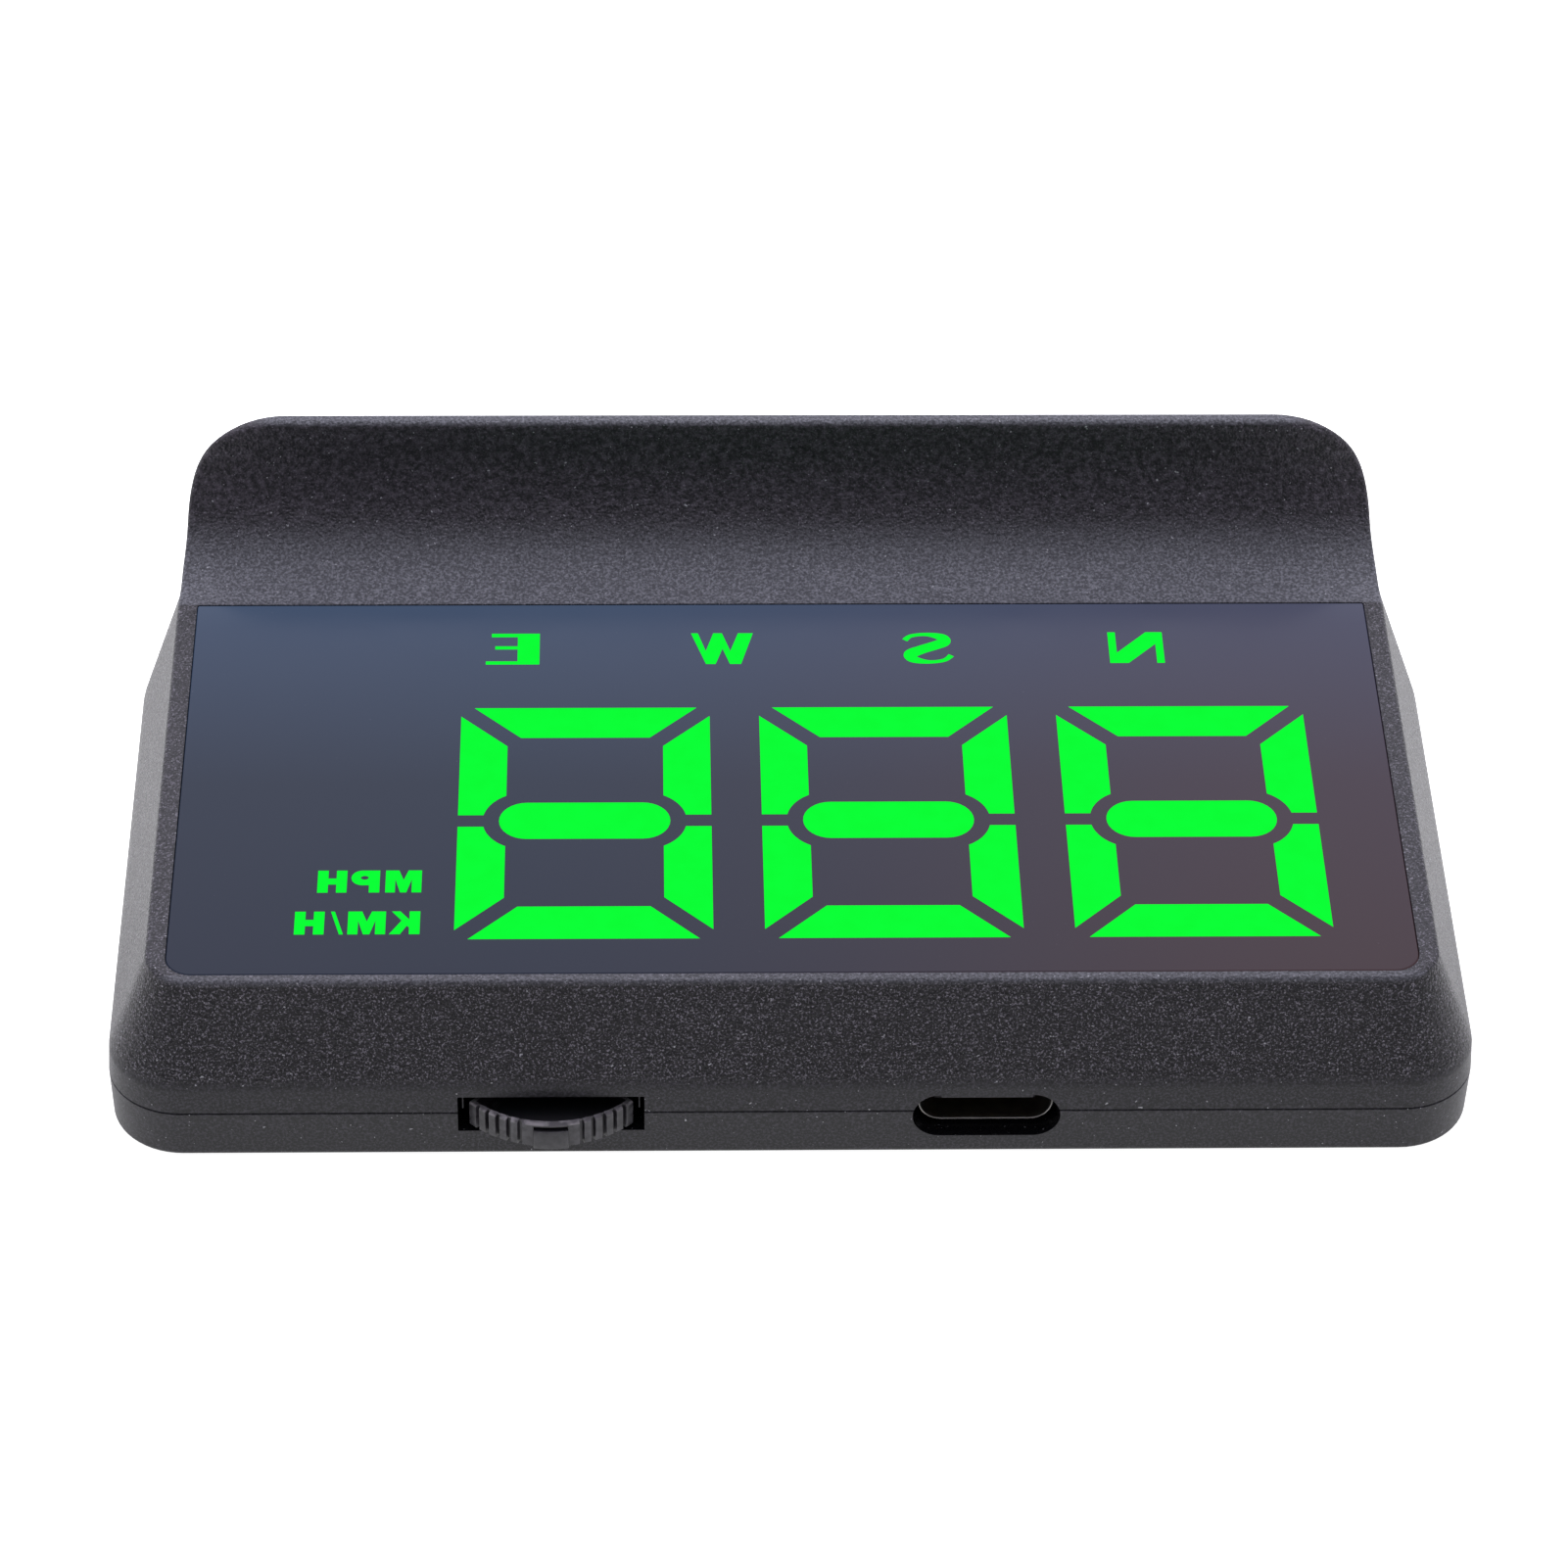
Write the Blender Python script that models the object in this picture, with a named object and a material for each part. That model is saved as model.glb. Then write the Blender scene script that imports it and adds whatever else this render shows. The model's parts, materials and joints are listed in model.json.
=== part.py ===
"""Dashboard head-up speedometer: a palm-sized unit that lies on a car's dashboard.

A mirrored three-digit display shines up at the windscreen from a wedge-edged case whose back
rises into a curved hood.  A thumb dial and a USB-C port look out of the front edge.

Frame: +X to the right and +Y to the back, seen from the driver's side, and +Z up.  The origin is
the centre of the non-slip pad's underside.  Sizes below are in millimetres, and y values called
"from the front" are counted from the case's front face.
"""
import math

import bmesh
import bpy

MM = 0.001
GAP = 0.2                  # space between two pieces that touch on the real object

# Case
CASE_WIDTH = 90.0
CASE_DEPTH = 53.0
PAD_PROUD = 0.4            # how far the pad stands below the bottom cover
PARTING_HEIGHT = 3.84      # these four are heights above the bottom cover's underside
BAND_HEIGHT = 5.85
BEZEL_HEIGHT = 12.84
HOOD_HEIGHT = 21.8
FRONT_RADIUS = 5.0
BEZEL_CORNER = 3.0             # the front corners' radius at the bezel
BACK_RADIUS = 13.0
BAND_INSET = 0.12
SKIRT_INSET = 2.9
WALL = 1.6
FLOOR = 1.4

# Hood
COVE_START = 42.9          # from the front
COVE_RADIUS = 8.3
HOOD_SHOULDER = (7.3, 4.8)  # width and height of each round shoulder, seen from the front
HOOD_BACK_RADIUS = 3.0     # of its back corners, seen from above
HOOD_BACK_INSET = 0.6      # the back wall leans in by this much at the top
HOOD_DRAFT = 0.4           # and each flank by this much
LIP_THICKNESS = 1.2

# Display
LENS_WIDTH = 81.6
LENS_FRONT = 3.57          # from the front
LENS_BACK = 42.16
LENS_THICKNESS = 1.2
LENS_FRONT_RADIUS = 1.7
LENS_BACK_RADIUS = 0.4
GASKET_THICKNESS = 0.3
MASK_THICKNESS = 0.3
WINDOW_MARGIN = 2.0        # width of the shelf that the lens sits on
SHELF = 1.2
DIGIT_WIDTH = 16.95
DIGIT_HEIGHT = 23.8
DIGIT_PITCH = 20.33
DIGITS_CENTRE = (6.65, 18.83)
BAR = 3.2
BAR_SETBACK = 0.9
BAR_SPLIT = 1.2            # gap between an upper upright bar and the lower one
MIDDLE_BAR = (11.45, 3.72)
MIDDLE_CLEARANCE = 1.1
COMPASS_XS = (-18.75, -4.25, 10.0, 24.5)
COMPASS_ROW = 37.2         # from the front
COMPASS_WINDOW = (4.6, 3.8)
UNIT_X = -28.5
UNIT_ROWS = {"speed_unit": 12.7, "distance_unit": 8.6}   # from the front
UNIT_WINDOW = (8.6, 2.6)
DIFFUSER_SHEET = 0.6
DIFFUSER_CLEARANCE = 0.15

# Circuit board
PCB_UNDERSIDE = 5.25       # above the bottom cover's underside
PCB_THICKNESS = 1.0
PCB_WIDTH = 76.0
PCB_FRONT = 2.3            # from the front
PCB_BACK = 44.5
LED_SIZE = (1.6, 1.2, 0.7)

# Thumb dial
DIAL_X = -15.85
DIAL_PIVOT = 5.7           # from the front
DIAL_RADIUS = 7.5
DIAL_BOTTOM = 2.4          # above the bottom cover's underside
DIAL_THICKNESS = 2.0
DIAL_HALF_ANGLE = 45.5
DIAL_RIBS = 5
DIAL_RIB_START = 14.5      # degrees from the middle of the tab
DIAL_RIB_PITCH = 6.0
DIAL_RIB_DEPTH = 0.35
DIAL_TAB = (1.15, 0.2)     # half width and how far it stands proud of the rim
DIAL_RIM_INSIDE = 4.6
DIAL_RIM_WALL = 0.7        # of the wall around the hollow in the dial's top
DIAL_HOLLOW = (3.2, 1.0)   # the hollow's inner radius and its depth
PIN_RADIUS = 0.6
RUNNING_CLEARANCE = 0.05
DIAL_SLOT = (12.2, 2.18, 5.14)   # width, lowest and highest height

# USB-C port, standard receptacle sizes
USB_X = 12.65
USB_HEIGHT = 3.34          # of the port's axis above the bottom cover's underside
USB_SHELL = (8.94, 3.16)
USB_WALL = 0.3
USB_DEPTH = 7.35
USB_SETBACK = 1.0
USB_CUTOUT = (9.7, 3.6)

# Fasteners: places are (x, from the front)
CASE_SCREWS = {"front_left": (-40.6, 4.7), "front_right": (40.6, 4.7),
               "back_left": (-38.5, 47.2), "back_right": (38.5, 47.2)}
PCB_SCREWS = {"front_left": (-30.0, 3.75), "front_right": (27.0, 3.75),
              "back_left": (-30.0, 42.6), "back_right": (30.0, 42.6)}
BOSS_RADIUS = 2.2
CASE_SCREW = (0.9, 1.8, 1.1, 7.6)  # shank radius, head radius, head height, length under the head
PCB_SCREW = (0.6, 1.2, 0.6, 3.0)
SCREW_HOLE_CLEARANCE = 0.25
COUNTERBORE = 1.5

# Non-slip pad
PAD_SIZE = (68.0, 35.0)
PAD_THICKNESS = 1.0
PAD_RADIUS = 4.0

# Buzzer's sound slots through the floor
SOUND_SLOTS = 4
SOUND_SLOT = (7.0, 0.7)
SOUND_SLOT_PITCH = 1.4
SOUND_SLOTS_PLACE = (18.0, 46.0)   # x, and the first slot's distance from the front

ROUND = 32                 # sides of a round piece
CORNER = 6                 # segments in a case corner
SMOOTH_ANGLE = 35.0        # degrees: faces that meet at less than this are shaded smooth


def y_from_front(distance):
    """A distance behind the case's front face, as a y value."""
    return distance - CASE_DEPTH / 2


def height(distance):
    """A height above the bottom cover's underside, as a z value."""
    return distance + PAD_PROUD


# ---------------------------------------------------------------- outlines
def arc(cx, cy, radius, start, end, steps):
    """Points on an arc, angles in degrees."""
    angles = [math.radians(start + (end - start) * i / steps) for i in range(steps + 1)]
    return [(cx + radius * math.cos(a), cy + radius * math.sin(a)) for a in angles]


def rounded_rectangle(x0, x1, y0, y1, front_radius, back_radius, steps=CORNER):
    """A rectangle's outline with one radius for its front corners and one for its back ones."""
    return (arc(x0 + front_radius, y0 + front_radius, front_radius, 180, 270, steps)
            + arc(x1 - front_radius, y0 + front_radius, front_radius, 270, 360, steps)
            + arc(x1 - back_radius, y1 - back_radius, back_radius, 0, 90, steps)
            + arc(x0 + back_radius, y1 - back_radius, back_radius, 90, 180, steps))


def case_outline(inset, back_inset=None, half_width=None, back_radius=None, front_radius=None):
    """The case's plan outline, moved in by an inset."""
    back_inset = inset if back_inset is None else back_inset
    half_width = CASE_WIDTH / 2 - inset if half_width is None else half_width
    back_radius = BACK_RADIUS - inset if back_radius is None else back_radius
    front_radius = FRONT_RADIUS - inset if front_radius is None else front_radius
    return rounded_rectangle(-half_width, half_width,
                             y_from_front(inset), y_from_front(CASE_DEPTH - back_inset),
                             front_radius, back_radius)


def lens_outline(grow):
    """The lens's plan outline, grown by a margin."""
    return rounded_rectangle(-LENS_WIDTH / 2 - grow, LENS_WIDTH / 2 + grow,
                             y_from_front(LENS_FRONT - grow), y_from_front(LENS_BACK + grow),
                             max(LENS_FRONT_RADIUS + grow, 0.3), max(LENS_BACK_RADIUS + grow, 0.3), 4)


def stadium(cx, cy, width, tall, steps=8):
    """A bar with round ends."""
    radius = tall / 2
    reach = width / 2 - radius
    return (arc(cx + reach, cy, radius, -90, 90, steps)
            + arc(cx - reach, cy, radius, 90, 270, steps))


def segment_outlines(cx, cy, shrink=0.0):
    """The seven bars of one digit, by their usual letters."""
    half_w = DIGIT_WIDTH / 2
    half_h = DIGIT_HEIGHT / 2
    inner_w = half_w - BAR
    inner_h = half_h - BAR
    middle_w, middle_h = MIDDLE_BAR
    ring = middle_h / 2 + MIDDLE_CLEARANCE
    end_x = middle_w / 2 - middle_h / 2
    low = BAR_SPLIT / 2
    start = math.degrees(math.asin(low / ring))
    stop = math.degrees(math.acos((inner_w - end_x) / ring))
    across = [(half_w - BAR_SETBACK, half_h), (inner_w - BAR_SETBACK, inner_h),
              (-inner_w + BAR_SETBACK, inner_h), (-half_w + BAR_SETBACK, half_h)]
    upright = ([(half_w, low), (half_w, half_h - BAR_SETBACK), (inner_w, inner_h - BAR_SETBACK)]
               + arc(end_x, 0, ring, stop, start, 4))
    shapes = {"a": [(x, y) for x, y in across], "b": upright,
              "c": [(x, -y) for x, y in upright], "d": [(x, -y) for x, y in across],
              "e": [(-x, -y) for x, y in upright], "f": [(-x, y) for x, y in upright],
              "g": stadium(0, 0, middle_w, middle_h, 6)}
    return {name: shifted(shrunk(points, shrink), cx, cy) for name, points in shapes.items()}


def shrunk(points, margin):
    """An outline drawn in towards its middle, so that it clears the hole it stands in."""
    xs = [p[0] for p in points]
    ys = [p[1] for p in points]
    mid_x, mid_y = (min(xs) + max(xs)) / 2, (min(ys) + max(ys)) / 2
    keep_x = 1 - 2 * margin / (max(xs) - min(xs))
    keep_y = 1 - 2 * margin / (max(ys) - min(ys))
    return [(mid_x + (x - mid_x) * keep_x, mid_y + (y - mid_y) * keep_y) for x, y in points]


def shifted(points, dx, dy):
    return [(x + dx, y + dy) for x, y in points]


def digit_centres():
    cx, cy = DIGITS_CENTRE
    return [(cx + i * DIGIT_PITCH, y_from_front(cy)) for i in (-1, 0, 1)]


# ---------------------------------------------------------------- meshes
def add_object(name, bm):
    """Turn a bmesh in millimetres into an object in metres, faces pointing out."""
    bmesh.ops.remove_doubles(bm, verts=bm.verts, dist=1e-4)
    bmesh.ops.recalc_face_normals(bm, faces=bm.faces)
    bmesh.ops.scale(bm, vec=(MM, MM, MM), verts=bm.verts)
    mesh = bpy.data.meshes.new(name)
    bm.to_mesh(mesh)
    bm.free()
    mesh.shade_smooth()
    mesh.set_sharp_from_angle(angle=math.radians(SMOOTH_ANGLE))
    obj = bpy.data.objects.new(name, mesh)
    bpy.context.scene.collection.objects.link(obj)
    return obj


def loft(name, rings):
    """A closed skin through outlines of equal length, each a pair of (z, points)."""
    bm = bmesh.new()
    loops = [[bm.verts.new((x, y, z)) for x, y in points] for z, points in rings]
    for lower, upper in zip(loops, loops[1:]):
        for i in range(len(lower)):
            j = (i + 1) % len(lower)
            bm.faces.new((lower[i], lower[j], upper[j], upper[i]))
    bm.faces.new(list(reversed(loops[0])))
    bm.faces.new(loops[-1])
    return add_object(name, bm)


def prism(name, outline, z0, z1):
    return loft(name, [(z0, outline), (z1, outline)])


def block(name, x0, x1, y0, y1, z0, z1):
    return prism(name, [(x0, y0), (x1, y0), (x1, y1), (x0, y1)], z0, z1)


def cylinder(name, x, y, z0, z1, radius, sides=ROUND):
    return prism(name, arc(x, y, radius, 0, 360, sides)[:-1], z0, z1)


def side_prism(name, profile, half_width):
    """A (y, z) profile extruded along X, the same to both sides."""
    bm = bmesh.new()
    left = [bm.verts.new((-half_width, y, z)) for y, z in profile]
    right = [bm.verts.new((half_width, y, z)) for y, z in profile]
    for i in range(len(profile)):
        j = (i + 1) % len(profile)
        bm.faces.new((left[i], left[j], right[j], right[i]))
    bm.faces.new(left)
    bm.faces.new(right)
    return add_object(name, bm)


def front_prism(name, outline, y0, y1):
    """An (x, z) outline extruded along Y."""
    bm = bmesh.new()
    front = [bm.verts.new((x, y0, z)) for x, z in outline]
    back = [bm.verts.new((x, y1, z)) for x, z in outline]
    for i in range(len(outline)):
        j = (i + 1) % len(outline)
        bm.faces.new((front[i], front[j], back[j], back[i]))
    bm.faces.new(front)
    bm.faces.new(back)
    return add_object(name, bm)


def pierced_plate(name, outline, holes, z0, z1):
    """A flat plate with any number of holes through it."""
    bm = bmesh.new()
    edges = []
    for loop in [outline] + holes:
        verts = [bm.verts.new((x, y, z0)) for x, y in loop]
        edges += [bm.edges.new((v, verts[(i + 1) % len(verts)])) for i, v in enumerate(verts)]
    bmesh.ops.triangle_fill(bm, use_beauty=True, use_dissolve=False, edges=edges)
    raised = bmesh.ops.extrude_face_region(bm, geom=list(bm.faces))["geom"]
    moved = [item for item in raised if isinstance(item, bmesh.types.BMVert)]
    bmesh.ops.translate(bm, verts=moved, vec=(0, 0, z1 - z0))
    return add_object(name, bm)


def helper(obj):
    """Mark an object as a cutting or joining tool and not a piece."""
    obj.hide_render = True
    obj.display_type = "WIRE"
    return obj


def boolean(target, operation, tools):
    for tool in tools:
        modifier = target.modifiers.new(f"{operation.lower()} {tool.name}", "BOOLEAN")
        modifier.operation = operation
        modifier.solver = "EXACT"
        modifier.object = helper(tool)


def cut(target, *tools):
    boolean(target, "DIFFERENCE", tools)


def unite(target, *tools):
    boolean(target, "UNION", tools)


# ---------------------------------------------------------------- materials
def material(name, colour, roughness, metallic=0.0, alpha=1.0, glow=0.0):
    mat = bpy.data.materials.get(name)
    if mat:
        return mat
    mat = bpy.data.materials.new(name)
    mat.use_nodes = True
    shader = mat.node_tree.nodes["Principled BSDF"]
    shader.inputs["Base Color"].default_value = (*colour, 1.0)
    shader.inputs["Roughness"].default_value = roughness
    shader.inputs["Metallic"].default_value = metallic
    shader.inputs["Alpha"].default_value = alpha
    shader.inputs["Emission Color"].default_value = (*colour, 1.0)
    shader.inputs["Emission Strength"].default_value = glow
    return mat


def finish(obj, name, colour, roughness, **extra):
    obj.data.materials.append(material(name, colour, roughness, **extra))
    return obj


def case_plastic(obj):
    return finish(obj, "case_plastic", (0.045, 0.044, 0.052), 0.55)


def black_plastic(obj):
    return finish(obj, "black_plastic", (0.02, 0.02, 0.022), 0.4)


def chip_resin(obj):
    return finish(obj, "chip_resin", (0.015, 0.015, 0.015), 0.5)


def led_body(obj):
    return finish(obj, "led_body", (0.85, 0.85, 0.7), 0.4)


def steel(obj):
    return finish(obj, "steel", (0.62, 0.62, 0.64), 0.3, metallic=1.0)


# ---------------------------------------------------------------- case
def hood_cutter():
    """Everything in front of the hood's hollow face and above the bezel."""
    bezel = height(BEZEL_HEIGHT)
    lip_front = CASE_DEPTH - HOOD_BACK_INSET - LIP_THICKNESS
    top = height(HOOD_HEIGHT)
    cove = arc(y_from_front(COVE_START), bezel + COVE_RADIUS, COVE_RADIUS, 270, 352, 12)
    profile = [(y_from_front(-5), bezel)] + cove
    profile += [(y_from_front(lip_front), top - 0.5), (y_from_front(lip_front + 0.35), top),
                (y_from_front(lip_front + 0.35), top + 3), (y_from_front(-5), top + 3)]
    return side_prism("hood_face_cutter", profile, CASE_WIDTH)


def hood_hollow():
    """The space inside the hood, one wall behind its hollow face."""
    bezel = height(BEZEL_HEIGHT)
    inner = arc(y_from_front(COVE_START), bezel + COVE_RADIUS, COVE_RADIUS + WALL, 270, 310, 6)
    back = y_from_front(CASE_DEPTH - HOOD_BACK_INSET - WALL)
    below = height(BEZEL_HEIGHT - 4)
    profile = [(y_from_front(COVE_START), below)] + inner + [(back, inner[-1][1]), (back, below)]
    return side_prism("hood_hollow_cutter", profile, CASE_WIDTH / 2 - 8)


def upper_rings():
    """The upper housing's outside: a band, the sloping skirt, then the hood's round shoulders."""
    bezel = height(BEZEL_HEIGHT)
    hood_half = CASE_WIDTH / 2 - SKIRT_INSET - HOOD_DRAFT
    rings = [(height(PARTING_HEIGHT) + GAP / 2, case_outline(0)),
             (height(BAND_HEIGHT), case_outline(BAND_INSET)),
             (bezel - 0.5, case_outline(SKIRT_INSET - 0.35, 0.4, front_radius=BEZEL_CORNER)),
             (bezel, case_outline(SKIRT_INSET, 0.4, front_radius=BEZEL_CORNER)),
             (bezel + 2.0, case_outline(SKIRT_INSET, 0.5, hood_half + 0.2, HOOD_BACK_RADIUS + 0.5,
                                        BEZEL_CORNER))]
    wide, tall = HOOD_SHOULDER
    straight_top = height(HOOD_HEIGHT) - tall
    steps = 8
    for i in range(steps + 1):
        turn = math.radians(85 * i / steps)
        half = hood_half - wide * (1 - math.cos(turn))
        back_inset = HOOD_BACK_INSET + (0.3 if i == steps else 0)
        rings.append((straight_top + tall * math.sin(turn),
                      case_outline(SKIRT_INSET, back_inset, half, HOOD_BACK_RADIUS, BEZEL_CORNER)))
    return rings


def window_outline():
    return lens_outline(-WINDOW_MARGIN)


def dial_slot_cutters(owner):
    """The dial's slot through the front wall, with the wall thinned behind it for the sweep."""
    width, low, high = DIAL_SLOT
    slot = block(f"{owner}_dial_slot_cutter", DIAL_X - width / 2, DIAL_X + width / 2,
                 y_from_front(-2), y_from_front(4), height(low), height(high))
    sweep = block(f"{owner}_dial_sweep_cutter", DIAL_X - width / 2 - 1.4, DIAL_X + width / 2 + 1.4,
                  y_from_front(0.8), y_from_front(4), height(low - 0.3), height(high + 0.3))
    return slot, sweep


def usb_cutter(owner):
    outline = stadium(USB_X, height(USB_HEIGHT), *USB_CUTOUT)
    return front_prism(f"{owner}_usb_cutter", outline, y_from_front(-2), y_from_front(4))


def upper_housing():
    body = loft("upper_housing", upper_rings())
    lens_floor = height(BEZEL_HEIGHT - LENS_THICKNESS - GASKET_THICKNESS - 2 * GAP)
    ceiling = lens_floor - SHELF
    hollow = loft("upper_hollow_cutter",
                  [(height(PARTING_HEIGHT) - 1, case_outline(WALL)),
                   (height(BAND_HEIGHT), case_outline(WALL)),
                   (ceiling, case_outline(SKIRT_INSET * 0.6 + WALL, 0.6 + WALL))])
    cut(body, hollow, hood_hollow())
    for name, (x, y) in CASE_SCREWS.items():
        foot = height(PARTING_HEIGHT) + GAP
        boss = cylinder(f"case_boss_{name}", x, y_from_front(y), foot, ceiling + 0.4, BOSS_RADIUS, 20)
        unite(body, boss)
    for name, (x, y) in PCB_SCREWS.items():
        foot = height(PCB_UNDERSIDE + PCB_THICKNESS) + GAP
        unite(body, cylinder(f"pcb_post_{name}", x, y_from_front(y), foot, ceiling + 1, 1.5, 16))
    window = prism("window_cutter", window_outline(), ceiling - 1, height(BEZEL_HEIGHT) + 1)
    seat = prism("lens_seat_cutter", lens_outline(GAP), lens_floor, height(BEZEL_HEIGHT) + 1)
    cut(body, hood_cutter(), window, seat)
    shank = CASE_SCREW[0] + SCREW_HOLE_CLEARANCE
    pcb_shank = PCB_SCREW[0] + SCREW_HOLE_CLEARANCE
    for name, (x, y) in CASE_SCREWS.items():
        cut(body, cylinder(f"case_thread_{name}", x, y_from_front(y), height(3), height(9.4), shank, 16))
    for name, (x, y) in PCB_SCREWS.items():
        foot = height(PCB_UNDERSIDE)
        cut(body, cylinder(f"pcb_thread_{name}", x, y_from_front(y), foot, foot + 3.9, pcb_shank, 12))
    cut(body, *dial_slot_cutters("upper"), usb_cutter("upper"))
    return case_plastic(body)


def bottom_cover():
    under = height(0)
    joint = height(PARTING_HEIGHT) - GAP / 2
    lip_inset = WALL + GAP
    body = loft("bottom_cover", [(under, case_outline(0.55)), (under + 0.3, case_outline(0.2)),
                                 (under + 1.0, case_outline(0.1)), (joint, case_outline(0)),
                                 (joint, case_outline(lip_inset)),
                                 (joint + 1.0, case_outline(lip_inset))])
    hollow = prism("bottom_hollow_cutter", case_outline(lip_inset + 0.7),
                   under + FLOOR, joint + 2)
    cut(body, hollow)
    for name, (x, y) in CASE_SCREWS.items():
        unite(body, cylinder(f"pillar_{name}", x, y_from_front(y), under + FLOOR / 2, joint,
                             BOSS_RADIUS + 0.3, 20))
    shank, head = CASE_SCREW[0] + SCREW_HOLE_CLEARANCE, CASE_SCREW[1] + SCREW_HOLE_CLEARANCE
    for name, (x, y) in CASE_SCREWS.items():
        y = y_from_front(y)
        cut(body, cylinder(f"screw_passage_{name}", x, y, under - 1, joint + 1, shank, 16),
            cylinder(f"counterbore_{name}", x, y, under - 1, under + COUNTERBORE, head, 20),
            cylinder(f"boss_relief_{name}", x, y, joint, joint + 2, BOSS_RADIUS + 0.3, 20))
    recess = prism("pad_recess_cutter", pad_outline(GAP), under - 1,
                   under + PAD_THICKNESS - PAD_PROUD + GAP)
    cut(body, recess, *dial_slot_cutters("bottom"), usb_cutter("bottom"))
    slot_x, first_slot = SOUND_SLOTS_PLACE
    for i in range(SOUND_SLOTS):
        outline = stadium(slot_x, y_from_front(first_slot + i * SOUND_SLOT_PITCH), *SOUND_SLOT, 4)
        cut(body, prism(f"sound_slot_{i}", outline, under - 1, under + FLOOR + 1))
    return case_plastic(body)


def pad_outline(grow):
    half_x, half_y = PAD_SIZE[0] / 2 + grow, PAD_SIZE[1] / 2 + grow
    return rounded_rectangle(-half_x, half_x, -half_y, half_y, PAD_RADIUS, PAD_RADIUS)


def non_slip_pad():
    pad = prism("non_slip_pad", pad_outline(0), 0, PAD_THICKNESS)
    return finish(pad, "rubber", (0.018, 0.018, 0.018), 0.85)


# ---------------------------------------------------------------- display
def display_lens():
    top = height(BEZEL_HEIGHT)
    lens = prism("display_lens", lens_outline(0), top - LENS_THICKNESS, top)
    return finish(lens, "smoked_lens", (0.02, 0.022, 0.03), 0.06, alpha=0.4)


def lens_gasket():
    top = height(BEZEL_HEIGHT) - LENS_THICKNESS - GAP
    ring = pierced_plate("lens_gasket", lens_outline(-GAP), [window_outline()],
                         top - GASKET_THICKNESS, top)
    return finish(ring, "foam_tape", (0.03, 0.03, 0.03), 0.9)


def centred_rectangle(x, y, width, depth):
    return [(x - width / 2, y - depth / 2), (x + width / 2, y - depth / 2),
            (x + width / 2, y + depth / 2), (x - width / 2, y + depth / 2)]


def marker_windows(shrink=0.0):
    """Windows behind the four compass letters and the two speed units."""
    shapes = [centred_rectangle(x, y_from_front(COMPASS_ROW), *COMPASS_WINDOW) for x in COMPASS_XS]
    shapes += [centred_rectangle(UNIT_X, y_from_front(row), *UNIT_WINDOW) for row in UNIT_ROWS.values()]
    return [shrunk(points, shrink) for points in shapes]


def all_windows(shrink=0.0):
    windows = marker_windows(shrink)
    for centre in digit_centres():
        windows += list(segment_outlines(*centre, shrink).values())
    return windows


def segment_mask():
    """The black sheet that lets light out only through the bars and the lettering windows."""
    top = height(BEZEL_HEIGHT) - LENS_THICKNESS - GAP
    mask = pierced_plate("segment_mask", lens_outline(-WINDOW_MARGIN - 0.3), all_windows(),
                         top - MASK_THICKNESS, top)
    return finish(mask, "mask_film", (0.01, 0.01, 0.012), 0.7)


def light_block_outline():
    """An L: the light block leaves the board's left back corner to the aerial."""
    left, notch, right = -35.6, -24.0, 37.4
    front, step, back = (y_from_front(d) for d in (6.0, 15.6, 39.6))
    return [(left, front), (right, front), (right, back), (notch, back), (notch, step), (left, step)]


def segment_diffuser():
    """A milky sheet whose raised bars stand in the mask's windows."""
    top = height(BEZEL_HEIGHT) - LENS_THICKNESS - GAP - 0.1
    sheet_top = top - MASK_THICKNESS - GAP
    bm = bmesh.new()
    edges = []
    islands = []
    for loop in [light_block_outline()] + all_windows(DIFFUSER_CLEARANCE):
        verts = [bm.verts.new((x, y, sheet_top)) for x, y in loop]
        edges += [bm.edges.new((v, verts[(i + 1) % len(verts)])) for i, v in enumerate(verts)]
        islands.append(verts)
    bmesh.ops.triangle_fill(bm, use_beauty=True, use_dissolve=False, edges=edges)
    tops = [bm.faces.new(verts) for verts in islands[1:]]
    lowered = bmesh.ops.extrude_face_region(bm, geom=list(bm.faces))["geom"]
    copies = [item for item in lowered if isinstance(item, bmesh.types.BMVert)]
    bmesh.ops.translate(bm, verts=copies, vec=(0, 0, -DIFFUSER_SHEET))
    raised = bmesh.ops.extrude_discrete_faces(bm, faces=tops)["faces"]
    corners = {v for face in raised for v in face.verts}
    bmesh.ops.translate(bm, verts=list(corners), vec=(0, 0, top - sheet_top))
    sheet = add_object("segment_diffuser", bm)
    return finish(sheet, "green_diffuser", (0.01, 0.9, 0.05), 0.5, glow=1.0)


def light_block():
    """White block with one light well under each bar and each lettering window."""
    top = height(BEZEL_HEIGHT) - LENS_THICKNESS - MASK_THICKNESS - DIFFUSER_SHEET - 5 * GAP
    bottom = height(PCB_UNDERSIDE + PCB_THICKNESS) + GAP
    body = pierced_plate("light_block", light_block_outline(), all_windows(GAP), bottom, top)
    return finish(body, "white_plastic", (0.8, 0.8, 0.78), 0.5)


# ---------------------------------------------------------------- board and its parts
def main_pcb():
    half = PCB_WIDTH / 2
    outline = rounded_rectangle(-half, half, y_from_front(PCB_FRONT), y_from_front(PCB_BACK), 1, 1, 3)
    hole = PCB_SCREW[0] + SCREW_HOLE_CLEARANCE
    holes = [arc(x, y_from_front(y), hole, 0, 360, 16)[:-1] for x, y in PCB_SCREWS.values()]
    bottom = height(PCB_UNDERSIDE)
    board = pierced_plate("main_pcb", outline, holes, bottom, bottom + PCB_THICKNESS)
    return finish(board, "circuit_board", (0.02, 0.16, 0.07), 0.4)


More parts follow.
